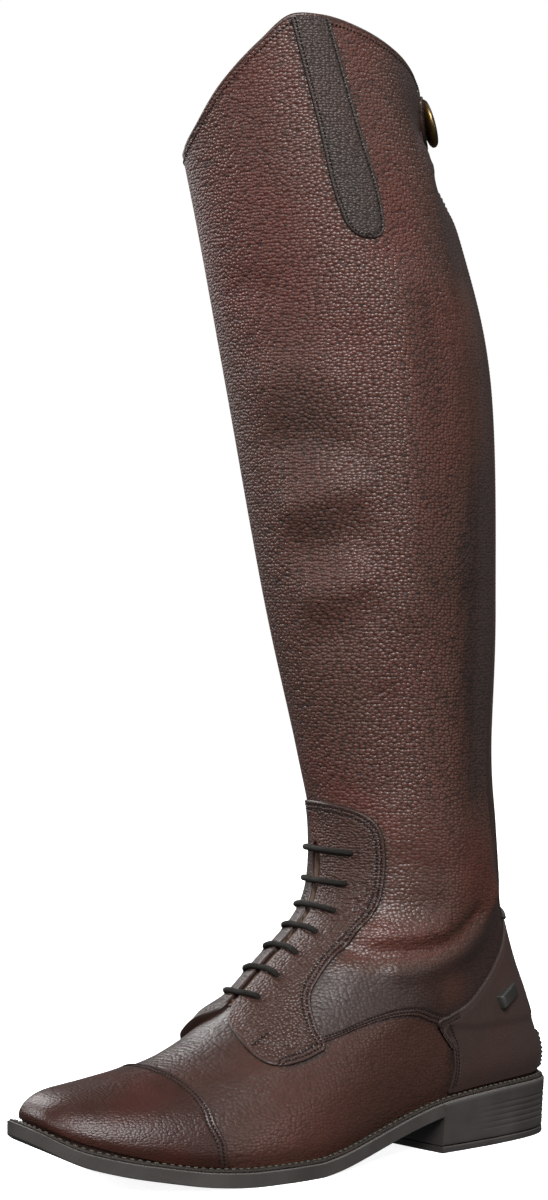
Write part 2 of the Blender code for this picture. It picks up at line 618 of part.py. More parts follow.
def make_snap(materials, collection):
    lift = 2 * GAP + GUARD_HEIGHT
    grid = patch_grid(back_rows(SNAP_TAB), lift)
    shell_object("snap_tab", [grid], OVERLAY, True, materials["leather"], collection)
    turn = FORM.from_back(SNAP_LEVEL, SNAP_BACK)
    base = FORM.at(SNAP_LEVEL, turn, lift + OVERLAY + GAP + SNAP_HEIGHT / 2)
    axis = FORM.at(SNAP_LEVEL, turn, 1.0) - FORM.at(SNAP_LEVEL, turn, 0.0)
    pan = math.atan2(axis[1], axis[0])
    tilt = math.acos(axis[2] / np.linalg.norm(axis))
    bpy.ops.mesh.primitive_cylinder_add(vertices=SNAP_SIDES, radius=SNAP_DIAMETER / 2 * MM,
                                        depth=SNAP_HEIGHT * MM, location=base * MM, rotation=(0, tilt, pan))
    snap = bpy.context.active_object
    snap.name = "snap_cap"
    snap.data.materials.append(materials["bronze"])
    for owner in list(snap.users_collection):
        owner.objects.unlink(snap)
    collection.objects.link(snap)
    edge = snap.modifiers.new("edge", "BEVEL")
    edge.width = SNAP_BEVEL * MM
    edge.segments = 2


def make_heel_details(materials, collection):
    lift = 2 * GAP + OVERLAY
    for name, side in (("spur_rest_lateral", 1), ("spur_rest_medial", -1)):
        back = np.linspace(SPUR_BACK[1], SPUR_BACK[0], SPUR_COLUMNS)[::side]
        middle = np.interp(back, SPUR_BACK, SPUR_LEVELS)
        grid = []
        for shift in np.linspace(-SPUR_HALF_LEVEL, SPUR_HALF_LEVEL, SPUR_ROWS):
            turns = [FORM.from_back(level + shift, side * d) for level, d in zip(middle, back)]
            grid.append(FORM.at(middle + shift, np.array(turns), lift))
        shell_object(name, [grid], SPUR_HEIGHT, True, materials["dark"], collection)
    grid = []
    for row, level in enumerate(np.linspace(*GRIP_LEVELS, GRIP_ROWS)):
        turns = [FORM.from_back(level, d) for d in np.linspace(GRIP_HALF, -GRIP_HALF, GRIP_COLUMNS)]
        grid.append(FORM.at(level, np.array(turns), lift + GRIP_RIB * (row % 2)))
    shell_object("heel_grip", [grid], GRIP_HEIGHT, True, materials["dark"], collection)


def main():
    clear_scene()
    collection = make_collection()
    materials = {
        "leather": make_material("leather", LEATHER, 0.45),
        "cap": make_material("cap_leather", CAP_LEATHER, 0.28),
        "tab": make_material("tab_leather", TAB_LEATHER, 0.5),
        "rubber": make_material("sole_rubber", RUBBER, 0.55),
        "dark": make_material("dark_rubber", DARK_RUBBER, 0.5),
        "welt": make_material("welt", WELT_COLOUR, 0.6),
        "lining": make_material("lining", LINING, 0.8),
        "lace": make_material("lace", LACE_COLOUR, 0.7),
        "bronze": make_material("bronze", BRONZE, 0.35, 1.0),
    }
    make_outsole(materials["rubber"], collection)
    make_heel_lift(materials["rubber"], collection)
    make_welt(materials["welt"], collection)
    make_insole(materials["lining"], collection)
    make_upper(materials["leather"], collection)
    make_tongue(materials["leather"], collection)
    make_overlays(materials, collection)
    make_facing(materials["leather"], collection)
    make_laces(materials["lace"], collection)
    make_side_tab(materials["tab"], collection)
    make_zip(materials, collection)
    make_snap(materials, collection)
    make_heel_details(materials, collection)


main()
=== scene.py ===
"""Looks of the lace-up riding boot: its leather and creases, seams and stitches, laces, sole, zip and snap.

Tables are in millimetres and meshes in metres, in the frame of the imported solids: the toe points to -Y,
the outer side faces +X and up is +Z. The boot's form is the stack of loops that the solids were built from.
A level is a place in SECTIONS, and a turn says how far round a loop a point lies: 0 is the front line, 1 the
back line by the outer side, and 2 the front line again.
"""

import math
from collections import namedtuple

import bpy
import numpy as np
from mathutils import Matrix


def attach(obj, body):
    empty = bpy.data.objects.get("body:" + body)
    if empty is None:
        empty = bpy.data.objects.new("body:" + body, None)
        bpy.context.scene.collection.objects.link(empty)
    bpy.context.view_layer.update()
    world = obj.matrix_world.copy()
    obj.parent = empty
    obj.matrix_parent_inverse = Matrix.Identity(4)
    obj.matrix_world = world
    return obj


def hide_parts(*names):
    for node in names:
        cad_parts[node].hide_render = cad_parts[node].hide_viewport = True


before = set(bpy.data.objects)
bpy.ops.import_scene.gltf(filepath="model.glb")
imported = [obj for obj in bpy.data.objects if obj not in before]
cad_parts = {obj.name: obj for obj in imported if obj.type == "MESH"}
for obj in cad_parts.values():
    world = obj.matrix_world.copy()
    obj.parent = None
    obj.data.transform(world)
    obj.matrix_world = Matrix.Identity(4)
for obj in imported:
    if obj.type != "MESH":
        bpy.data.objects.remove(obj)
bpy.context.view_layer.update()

MM = 0.001

# Driving dimensions, as in the solids
WALL = 2.0
GAP = 0.4
SOLE_EDGE = 6.0
LEDGE = 4.5
TOE_LEDGE = 2.0
TOE_LEDGE_FROM_Y = -200.0
TOE_LEDGE_FULL_Y = -222.0
HEEL_BREAST_Y = -38.0
HEEL_LIFT = 2.8
HEEL_TAPER = 1.2
WELT_HEIGHT = 1.3
WELT_MARGIN = 0.9
INSOLE = 2.8
SLIT_HALF = 2.0
SLIT_LEVELS = (5.35, 7.85)
LACE_RADIUS = 1.25
ZIP_HALF = 3.6
GUARD_WIDTH = 10.0
FOOT_LEVEL = 0.24

# Loops of the last: the front and back points, then the half widths on the outer and the inner side
Section = namedtuple("Section", "name front_y front_z back_y back_z front_x mid_x turn follow front_round "
                     "back_round out_toe out_ball out_waist out_heel in_toe in_ball in_waist in_heel")
SECTIONS = [
    Section("feather", -222.0, 23.5, 36.0, 25.0, -3, 0, 0, 1.0, 3.8, 3.0, 25, 44, 32, 29, 23, 39, 28, 29),
    Section("wall", -222.6, 30.7, 37.0, 36.0, -3, 0, 0, 1.0, 3.6, 3.0, 26, 46, 35, 32, 24, 41, 31, 31),
    Section("toe_top", -214.8, 36.4, 32.0, 50.0, -3, 0, 0, 0.85, 3.2, 3.0, 25, 44, 37, 32, 24, 39, 33, 31),
    Section("cap", -194.0, 40.3, 26.5, 64.0, -3, 0, 0, 0.6, 2.8, 3.0, 23, 39, 37, 31, 22, 35, 34, 30),
    Section("vamp", -164.0, 45.6, 21.0, 77.0, -2, 0, 0, 0.4, 2.5, 2.9, 23, 35, 37, 30, 22, 32, 34, 29),
    Section("throat", -134.0, 59.5, 16.0, 90.0, -1, 0, 1, 0.2, 2.4, 2.8, 23, 33, 36, 29, 22, 31, 34, 28),
    Section("instep", -106.0, 80.0, 11.0, 103.0, 0, 0, 4, 0.1, 2.3, 2.6, 26, 33, 35, 29, 25, 32, 34, 28),
    Section("flex", -79.4, 104.0, 9.5, 117.0, 0, 0, 8, 0, 2.2, 2.4, 29, 34, 35, 30, 28, 33, 34, 29),
    Section("ankle", -74.2, 136.0, 7.0, 138.0, 0, 0, 12, 0, 2.1, 2.3, 32, 36, 36, 32, 31, 35, 35, 31),
    Section("gaiter", -79.7, 170.0, 5.2, 170.0, 0, -1.5, 14, 0, 2.05, 2.2, 34, 38, 38, 35, 33, 37, 37, 34),
    Section("shin", -94.0, 235.0, 7.0, 232.0, 0, -3.5, 17, 0, 2.0, 2.1, 40, 44, 44, 42, 39, 43, 43, 41),
    Section("calf", -110.5, 330.0, 4.0, 330.0, 0, -7.0, 22, 0, 2.0, 2.1, 46, 51, 51, 48, 45, 50, 50, 47),
    Section("knee", -124.0, 402.0, -14.0, 400.0, 0, -11.0, 26, 0, 2.0, 2.1, 48, 52, 52, 48, 47, 51, 51, 47),
    Section("crown", -143.0, 490.0, -40.0, 490.0, 0, -17.5, 28, 0, 2.0, 2.1, 45, 49, 49, 45, 44, 48, 48, 44),
]
STATIONS = (0.0, 0.34, 0.62, 0.88)
TOE_SWELL = 0.75
LAST_LEVEL = len(SECTIONS) - 1
CALF_LEVEL = 11

# Height of the collar's edge round the shaft
Collar = namedtuple("Collar", "turn z")
COLLAR = [
    Collar(0.00, 424.5), Collar(0.10, 432.0), Collar(0.24, 449.0), Collar(0.37, 464.0),
    Collar(0.47, 474.5), Collar(0.55, 475.0), Collar(0.67, 471.0), Collar(0.80, 464.0),
    Collar(0.92, 455.0), Collar(1.00, 449.0), Collar(1.20, 440.0), Collar(1.50, 431.0),
    Collar(1.80, 423.0), Collar(2.00, 424.5),
]

# Top of the sole along the foot
Seat = namedtuple("Seat", "y z")
SEAT = [
    Seat(-238, 32.6), Seat(-229, 27.2), Seat(-218, 21.2), Seat(-205, 16.6), Seat(-190, 12.2),
    Seat(-175, 8.7), Seat(-160, 6.8), Seat(-147, 6.0), Seat(-113, 6.0), Seat(-100, 7.6), Seat(-85, 10.6),
    Seat(-70, 14.2), Seat(-55, 18.0), Seat(-40, 21.2), Seat(-20, 23.2), Seat(0, 24.2), Seat(45, 24.6),
]
TOE_ROLL = 0.10
ROLL_FROM_Y = -175.0
ROLL_FULL_Y = -225.0

# Edges of the panels: a level, and millimetres from the front line or the back line
Edge = namedtuple("Edge", "level reach")
CAP_EDGE = [
    Edge(0.22, 86.0), Edge(0.70, 85.6), Edge(1.15, 83.8), Edge(1.55, 79.0), Edge(1.90, 72.6),
    Edge(2.30, 64.5), Edge(2.60, 56.1), Edge(2.95, 45.0), Edge(3.25, 34.0), Edge(3.55, 22.0),
    Edge(3.80, 10.5), Edge(3.92, 0.0),
]
COUNTER_EDGE = [
    Edge(0.22, 83.0), Edge(0.85, 84.2), Edge(1.50, 82.5), Edge(2.15, 81.2), Edge(2.60, 83.0),
    Edge(2.90, 86.4), Edge(3.03, 85.8), Edge(3.12, 79.0), Edge(3.35, 64.0), Edge(3.75, 52.5),
    Edge(4.15, 41.0), Edge(4.75, 27.5), Edge(5.25, 18.0), Edge(5.50, 12.0), Edge(5.60, 5.0),
    Edge(5.61, 0.0),
]
FACING_FRONT = [
    Edge(3.36, 75.0), Edge(3.42, 68.5), Edge(3.55, 61.0), Edge(3.70, 54.5), Edge(3.90, 46.5),
    Edge(4.30, 32.0), Edge(4.70, 18.5), Edge(5.05, 7.0), Edge(5.30, 2.2), Edge(5.45, 2.0),
    Edge(6.15, 2.0), Edge(6.95, 2.0), Edge(7.80, 2.0), Edge(7.84, 1.6), Edge(7.86, 0.0), Edge(8.10, 0.0),
    Edge(8.44, 0.0),
]
FACING_BACK = [
    Edge(3.36, 75.0), Edge(3.40, 79.5), Edge(3.55, 83.5), Edge(3.70, 83.5), Edge(3.90, 77.5),
    Edge(4.30, 64.0), Edge(4.70, 52.0), Edge(5.05, 42.5), Edge(5.35, 36.0), Edge(5.75, 32.0),
    Edge(6.15, 31.3), Edge(6.55, 32.8), Edge(6.95, 33.8), Edge(7.35, 34.2), Edge(7.75, 34.8),
    Edge(8.00, 34.2), Edge(8.15, 32.0), Edge(8.30, 26.5), Edge(8.39, 18.0), Edge(8.43, 9.0),
    Edge(8.44, 0.0),
]
TONGUE_EDGE = [Edge(5.0, 13.0), Edge(5.75, 19.0), Edge(6.55, 22.0), Edge(7.35, 24.0), Edge(8.3, 25.0)]
TAB_EDGE = [
    Edge(12.985, 9.3), Edge(12.50, 9.3), Edge(12.00, 9.3), Edge(11.93, 8.5), Edge(11.875, 6.4),
    Edge(11.845, 3.4), Edge(11.838, 0.0),
]
TAB_TURN = 0.52
SNAP_TAB_LOW = [
    Edge(12.82, 16.0), Edge(12.76, 15.4), Edge(12.72, 13.0), Edge(12.70, 8.0), Edge(12.70, 0.0),
    Edge(12.71, -8.5), Edge(12.75, -12.2), Edge(12.82, -13.0),
]
SNAP_TAB_HIGH = [
    Edge(12.82, 16.0), Edge(12.88, 15.4), Edge(12.92, 13.0), Edge(12.94, 8.0), Edge(12.94, 0.0),
    Edge(12.93, -8.5), Edge(12.89, -12.2), Edge(12.82, -13.0),
]
SNAP_LEVEL = 12.82
SNAP_BACK = 5.0
ZIP_SPAN = (5.62, 12.97)

# Lower edge of the quarter over the vamp: a level at each turn, hidden under facing and counter at its ends
Seam = namedtuple("Seam", "turn level")
QUARTER_SEAM = [
    Seam(0.0, 5.36), Seam(0.05, 5.20), Seam(0.10, 4.88), Seam(0.16, 4.50), Seam(0.22, 4.20),
    Seam(0.30, 3.98), Seam(0.358, 3.95), Seam(0.428, 4.05), Seam(0.514, 3.95), Seam(0.588, 3.60),
    Seam(0.655, 3.02), Seam(0.74, 2.50), Seam(0.87, 2.20), Seam(1.0, 2.10),
]
# Edge of the shaft's main leather over its back panel: millimetres from the back line
BACK_SEAM = [
    Edge(5.4, 13.0), Edge(6.0, 20.0), Edge(7.0, 26.0), Edge(8.0, 27.0), Edge(9.0, 26.0), Edge(10.0, 26.0),
    Edge(10.5, 25.5), Edge(10.9, 20.0), Edge(11.3, 16.5), Edge(12.2, 15.5), Edge(13.0, 15.5),
]

# Creases: a path over the form on the outer side, its half width and its height, negative for a trough
Crease = namedtuple("Crease", "path width height")
CREASES = [
    Crease([(6.25, 0.24), (5.97, 0.36), (5.77, 0.46), (5.68, 0.55), (5.70, 0.64), (6.05, 0.71)], 4.6, -2.6),
    Crease([(6.55, 0.24), (6.30, 0.36), (6.10, 0.46), (6.05, 0.55)], 5.0, 1.6),
    Crease([(5.42, 0.44), (5.22, 0.54), (5.25, 0.63), (5.48, 0.71), (6.00, 0.78), (6.50, 0.80)], 6.0, 1.7),
    Crease([(7.55, 0.74), (7.05, 0.77), (6.60, 0.79)], 7.0, 1.0),
    Crease([(4.85, 0.62), (4.55, 0.68), (4.60, 0.76)], 7.0, -0.6),
    Crease([(10.95, 0.17), (11.00, 0.26), (10.95, 0.35)], 10.0, 1.3),
    Crease([(10.68, 0.17), (10.70, 0.26), (10.66, 0.34)], 9.0, -1.9),
    Crease([(10.42, 0.18), (10.46, 0.26), (10.50, 0.35)], 8.0, 2.2),
    Crease([(10.24, 0.19), (10.25, 0.25), (10.29, 0.33)], 8.0, -1.7),
    Crease([(10.02, 0.20), (10.05, 0.27), (10.10, 0.34)], 8.0, 2.0),
    Crease([(9.78, 0.19), (9.80, 0.25)], 8.0, -0.9),
    Crease([(11.68, 0.16), (11.60, 0.22)], 8.0, -1.0),
    Crease([(11.50, 0.57), (10.95, 0.53), (10.55, 0.50), (10.00, 0.46)], 13.0, 2.0),
    Crease([(11.15, 0.43), (10.60, 0.40), (9.95, 0.37)], 9.0, -0.9),
    Crease([(9.40, 0.37), (9.05, 0.36), (8.70, 0.34)], 9.0, -1.0),
    Crease([(10.00, 0.68), (9.40, 0.71), (8.50, 0.70)], 10.0, -1.4),
    Crease([(7.05, 0.25), (6.90, 0.36), (6.75, 0.50)], 4.5, -0.5),
    Crease([(7.60, 0.34), (7.45, 0.46), (7.35, 0.58)], 5.0, -0.4),
    Crease([(4.75, 0.06), (4.60, -0.05)], 5.0, -0.4),
    Crease([(12.70, 0.87), (12.66, 0.95), (12.56, 0.99), (12.40, 0.93)], 11.0, -4.2),
    Crease([(12.50, 0.82), (12.20, 0.78), (11.90, 0.775), (11.60, 0.755)], 6.5, 0.9),
    Crease([(12.45, 0.86), (12.20, 0.83), (11.90, 0.825), (11.65, 0.800)], 6.5, -0.9),
    Crease([(6.25, 1.74), (5.90, 1.60), (5.75, 1.46), (6.05, 1.30)], 5.0, -1.2),
    Crease([(6.55, 1.72), (6.20, 1.58), (6.05, 1.46)], 5.5, 0.8),
    Crease([(10.70, 1.70), (10.55, 1.62), (10.60, 1.52)], 15.0, -0.9),
]

# Colour patches on the upper: a place, a radius and how much redder (positive) or darker (negative) it is;
# the darker patches are painted shade in the troughs of folds
Patch = namedtuple("Patch", "level turn radius tint")
RED_PATCHES_AND_FOLD_SHADE = [
    Patch(6.40, 0.28, 9, 0.5), Patch(6.25, 0.36, 9, 0.5), Patch(6.08, 0.46, 9, 0.4),
    Patch(6.02, 0.54, 9, 0.3), Patch(11.75, 0.17, 34, 0.9), Patch(12.30, 0.16, 34, 0.9),
    Patch(11.10, 0.43, 18, 0.5), Patch(11.35, 0.75, 18, 0.8), Patch(10.80, 0.74, 22, 0.5),
    Patch(8.50, 0.15, 8, 0.9), Patch(8.40, 0.24, 7, 0.9), Patch(8.10, 0.31, 6, 0.8),
    Patch(8.85, 0.04, 14, 0.5), Patch(12.20, 0.64, 22, 0.6), Patch(11.90, 0.58, 16, 0.6),
    Patch(12.92, 0.66, 16, 0.6), Patch(12.85, 0.32, 18, 0.6), Patch(0.70, 0.34, 26, 0.3),
    Patch(0.40, 0.45, 30, 0.3), Patch(3.80, 0.21, 14, 0.4), Patch(3.40, 0.12, 16, 0.3),
    Patch(4.15, 0.66, 9, 0.6), Patch(7.00, 0.70, 12, 0.5), Patch(10.80, 0.25, 16, -0.4),
    Patch(10.33, 0.25, 10, -0.3), Patch(9.60, 0.72, 18, -0.6), Patch(10.20, 0.70, 22, -0.6),
    Patch(8.60, 0.71, 14, -0.5), Patch(6.70, 0.45, 16, -0.4),
]

# Lace bars from the top down: a level, millimetres from the front line to each hole, and the rise in levels
# at the front line
Lace = namedtuple("Lace", "level reach crest")
LACES = [
    Lace(7.74, 21.5, 0.04), Lace(7.33, 18.8, 0.04), Lace(6.92, 16.6, 0.10), Lace(6.58, 14.0, 0.11),
    Lace(6.21, 13.2, 0.14), Lace(5.81, 13.4, 0.16), Lace(5.43, 13.2, 0.10),
]

# Rows of stitches on a panel: millimetres in from its edge
DOUBLE_ROW = (1.8, 3.7)
SINGLE_ROW = (1.6,)
COUNTER_ROW = (1.4, 2.9)
STITCH_PITCH = 1.6
WELT_PITCH = 3.3


def hermite(xs, ys, x):
    """Smooth curve through the points of a table, read at x."""
    xs, ys, x = (np.asarray(a, float) for a in (xs, ys, x))
    span = np.diff(xs)
    flat = (-1,) + (1,) * (ys.ndim - 1)
    slope = np.diff(ys, axis=0) / span.reshape(flat)
    lean = (span[1:] / (span[1:] + span[:-1])).reshape(flat)
    tangent = np.concatenate([slope[:1], slope[:-1] * lean + slope[1:] * (1 - lean), slope[-1:]])
    i = np.clip(np.searchsorted(xs, x, side="right") - 1, 0, len(xs) - 2)
    t = ((x - xs[i]) / span[i]).reshape(x.shape + (1,) * (ys.ndim - 1))
    step = span[i].reshape(t.shape)
    rise = 3 * t**2 - 2 * t**3
    start = (t**3 - 2 * t**2 + t) * step * tangent[i]
    end = (t**3 - t**2) * step * tangent[i + 1]
    return (1 - rise) * ys[i] + rise * ys[i + 1] + start + end


def smooth(x):
    """Soft step from 0 to 1."""
    x = np.clip(x, 0, 1)
    return x * x * (3 - 2 * x)


def bell(x):
    """Soft hump of height 1 about 0."""
    return np.exp(-(x**2))


def unit(vectors):
    """Vectors brought to length 1."""
    return vectors / np.linalg.norm(vectors, axis=-1, keepdims=True)


def seat_z(y):
    """Height of the sole's top at y, never under the sole's own thickness."""
    table = np.array(SEAT)
    z = hermite(table[:, 0], table[:, 1], np.clip(y, table[0, 0], table[-1, 0]))
    return np.maximum(z, SOLE_EDGE)


def toe_roll(points):
    """Lower the outer side of the toe and raise its inner side."""
    points = np.array(points, float)
    share = smooth((points[..., 1] - ROLL_FROM_Y) / (ROLL_FULL_Y - ROLL_FROM_Y))
    points[..., 2] -= TOE_ROLL * share * points[..., 0]
    return points


def half_loop(level, side, count):
    """One side of a loop, from the front line to the back line, at count + 1 even steps of its length."""
    table = np.array([row[1:] for row in SECTIONS], float)
    row = Section("", *hermite(np.arange(len(SECTIONS)), table, np.array([level]))[0])
    along = (1 - np.cos(np.linspace(0, math.pi, 4 * count + 1))) / 2
    y = row.front_y + (row.back_y - row.front_y) * along
    sag = seat_z(y)
    sag = sag - ((1 - along) * sag[0] + along * sag[-1])
    z = row.front_z + (row.back_z - row.front_z) * along + min(max(row.follow, 0), 1) * sag
    power = np.where(along < 0.5, row.front_round, row.back_round)
    rounding = np.maximum(1 - np.abs(2 * along - 1) ** power, 0) ** (1 / power)
    outer = (row.out_toe, row.out_ball, row.out_waist, row.out_heel)
    inner = (row.in_toe, row.in_ball, row.in_waist, row.in_heel)
    ball = STATIONS[1]
    reach = np.where(along < ball, ball * (along / ball) ** TOE_SWELL, np.minimum(along, STATIONS[-1]))
    fullness = hermite(STATIONS, outer if side > 0 else inner, reach)
    x = row.front_x * (1 - along) ** 2 + side * rounding * fullness
    angle = -math.radians(row.turn)
    mid_y = (row.front_y + row.back_y) / 2
    turned_x = x * math.cos(angle) - (y - mid_y) * math.sin(angle) + row.mid_x
    turned_y = x * math.sin(angle) + (y - mid_y) * math.cos(angle) + mid_y
    points = toe_roll(np.stack([turned_x, turned_y, z], 1))
    run = path_run(points)
    return read_path(np.linspace(0, run[-1], count + 1), run, points)


def path_run(points):
    """Length along a path at each of its points."""
    return np.concatenate([[0], np.cumsum(np.linalg.norm(np.diff(points, axis=0), axis=1))])


def read_path(at, run, field):
    """Vectors along a path, read at given lengths of it."""
    return np.stack([np.interp(at, run, field[:, k]) for k in range(field.shape[1])], 1)


def round_share(turn):
    """How far round its side a turn lies: 0 is the front line and 1 the back line."""
    turn = np.mod(turn, 2)
    return np.minimum(turn, 2 - turn)


def cubic_weights(t):
    """Shares of four neighbours in a smooth reading between the middle two."""
    before = (-t + 2 * t**2 - t**3) / 2
    first = (2 - 5 * t**2 + 3 * t**3) / 2
    second = (t + 4 * t**2 - 3 * t**3) / 2
    after = (t**3 - t**2) / 2
    return before, first, second, after


class Form:
    """The outer surface of the last, sampled once and read at any level and turn."""

    HALF = 120
    STEP = 0.05

    def __init__(self):
        self.levels = np.arange(0, LAST_LEVEL + self.STEP / 2, self.STEP)
        loops = [self.loop(level) for level in self.levels]
        self.points = self.cut_at_collar(np.array(loops))
        ahead = np.roll(self.points, -1, axis=1) - np.roll(self.points, 1, axis=1)
        upward = np.gradient(self.points, axis=0)
        self.normals = unit(np.cross(ahead, upward))
        closed = np.concatenate([self.points, self.points[:, :1]], axis=1)
        steps = np.linalg.norm(np.diff(closed, axis=1), axis=2)
        self.outer_half = steps[:, :self.HALF].sum(axis=1)
        self.inner_half = steps[:, self.HALF:].sum(axis=1)

    def loop(self, level):
        outer = half_loop(level, 1, self.HALF)
        inner = half_loop(level, -1, self.HALF)
        return np.concatenate([outer, inner[-2:0:-1]])

    def cut_at_collar(self, loops):
        """Shorten every column above the calf so that the last level lies on the collar's edge."""
        first = int(round(CALF_LEVEL / self.STEP))
        turns = np.arange(loops.shape[1]) / self.HALF
        table = np.array(COLLAR)
        edge = hermite(table[:, 0], table[:, 1], turns)
        top = self.levels[first:]
        cut = loops.copy()
        for column in range(loops.shape[1]):
            rise = loops[first:, column]
            end = np.interp(edge[column], rise[:, 2], top)
            wanted = CALF_LEVEL + (top - CALF_LEVEL) * (end - CALF_LEVEL) / (LAST_LEVEL - CALF_LEVEL)
            cut[first:, column] = read_path(wanted, top, rise)
        return cut

    def read(self, field, level, turn):
        last = len(self.levels) - 1
        row = np.clip(np.asarray(level, float) / self.STEP, 0, last)
        low = np.minimum(row.astype(int), last - 1)
        column = np.mod(np.asarray(turn, float), 2) * self.HALF
        left = column.astype(int)
        total = 0.0
        for i, up in enumerate(cubic_weights(row - low), start=-1):
            level_row = np.clip(low + i, 0, last)
            for j, across in enumerate(cubic_weights(column - left), start=-1):
                total = total + field[level_row, (left + j) % (2 * self.HALF)] * (up * across)[..., None]
        return total

    def normal(self, level, turn):
        return unit(self.read(self.normals, level, turn))

    def at(self, level, turn, offset=0.0):
        """Points on the form, moved out along its normal by offset."""
        level, turn = np.broadcast_arrays(np.asarray(level, float), np.asarray(turn, float))
        return self.read(self.points, level, turn) + self.normal(level, turn) * np.asarray(offset)[..., None]

    def half(self, level, distance):
        outer = np.interp(level, self.levels, self.outer_half)
        inner = np.interp(level, self.levels, self.inner_half)
        return np.where(np.asarray(distance) >= 0, outer, inner)

    def from_front(self, level, distance):
        """Turn at a distance from the front line, positive on the outer side."""
        return np.asarray(distance) / self.half(level, distance)

    def from_back(self, level, distance):
        """Turn at a distance from the back line, positive on the outer side."""
        return 1 - np.asarray(distance) / self.half(level, distance)

    def rise(self, level, turn):
        """Millimetres of surface in one level."""
        step = self.STEP
        low = np.clip(level, 0, LAST_LEVEL - step)
        return np.linalg.norm(self.at(low + step, turn) - self.at(low, turn), axis=-1) / step


FORM = Form()


def distance_to_path(points, path):
    """Distance from each point to a chain of straight pieces."""
    best = np.full(points.shape[:-1], np.inf)
    for start, end in zip(path[:-1], path[1:]):
        run = end - start
        length = max(float(run @ run), 1e-12)
        share = np.clip(((points - start) @ run) / length, 0, 1)
        best = np.minimum(best, np.linalg.norm(points - start - share[..., None] * run, axis=-1))
    return best


class Nodes:
    """A material's node tree, with short ways to add and join nodes."""

    def __init__(self, name):
        self.material = bpy.data.materials.new(name)
        self.material.use_nodes = True
        self.tree = self.material.node_tree
        self.shader = self.tree.nodes["Principled BSDF"]

    def add(self, kind, inputs=(), **settings):
        node = self.tree.nodes.new(kind)
        for key, value in settings.items():
            setattr(node, key, value)
        for key, value in dict(inputs).items():
            self.put(node.inputs[key], value)
        return node

    def put(self, socket, value):
        if isinstance(value, bpy.types.NodeSocket):
            self.tree.links.new(value, socket)
        else:
            socket.default_value = value

    def place(self):
        return self.add("ShaderNodeTexCoord").outputs["Object"]

    def field(self, name):
        return self.add("ShaderNodeAttribute", attribute_name=name).outputs["Fac"]

    def noise(self, place, scale, detail=2.0):
        inputs = {"Vector": place, "Scale": scale, "Detail": detail}
        return self.add("ShaderNodeTexNoise", inputs).outputs["Fac"]

    def math(self, operation, first, second=0.0, clamp=False):
        node = self.add("ShaderNodeMath", {0: first, 1: second}, operation=operation, use_clamp=clamp)
        return node.outputs["Value"]

    def span(self, value, low, high, to_low=0.0, to_high=1.0):
        inputs = {"Value": value, "From Min": low, "From Max": high, "To Min": to_low, "To Max": to_high}
        return self.add("ShaderNodeMapRange", inputs).outputs["Result"]

    def mix(self, share, first, second):
        node = self.add("ShaderNodeMix", data_type="RGBA")
        self.put(node.inputs["Factor"], share)
        self.put(node.inputs[6], first)
        self.put(node.inputs[7], second)
        return node.outputs[2]

    def bump(self, height, strength, depth):
        inputs = {"Height": height, "Strength": strength, "Distance": depth * MM}
        self.put(self.shader.inputs["Normal"], self.add("ShaderNodeBump", inputs).outputs["Normal"])

    def look(self, **values):
        for key, value in values.items():
            self.put(self.shader.inputs[key.replace("_", " ")], value)
        return self.material


def rgb(red, green, blue):
    """An opaque colour."""
    return (red, green, blue, 1.0)


# Leather: its cells are wider than high, and a soft noise bends their rows
CELL_STRETCH = (1.0, 1.0, 1.45)
CELL_UNEVEN = 0.7
ROW_BEND = (0.0004, 0.0004, 0.0004)
ROW_BEND_SCALE = 260.0
PORE_SCALE = 1300.0
PORE_SHARE = 0.05
CRINKLE_STRETCH = (150.0, 150.0, 430.0)
BROAD_SCALE = 26.0
FINE_SCALE = 150.0
MOTTLE_REDNESS = 0.42
FURROW_WIDTH = 0.13
FURROW_ROUGHER = 0.3
DULL_ROUGHER = 0.4


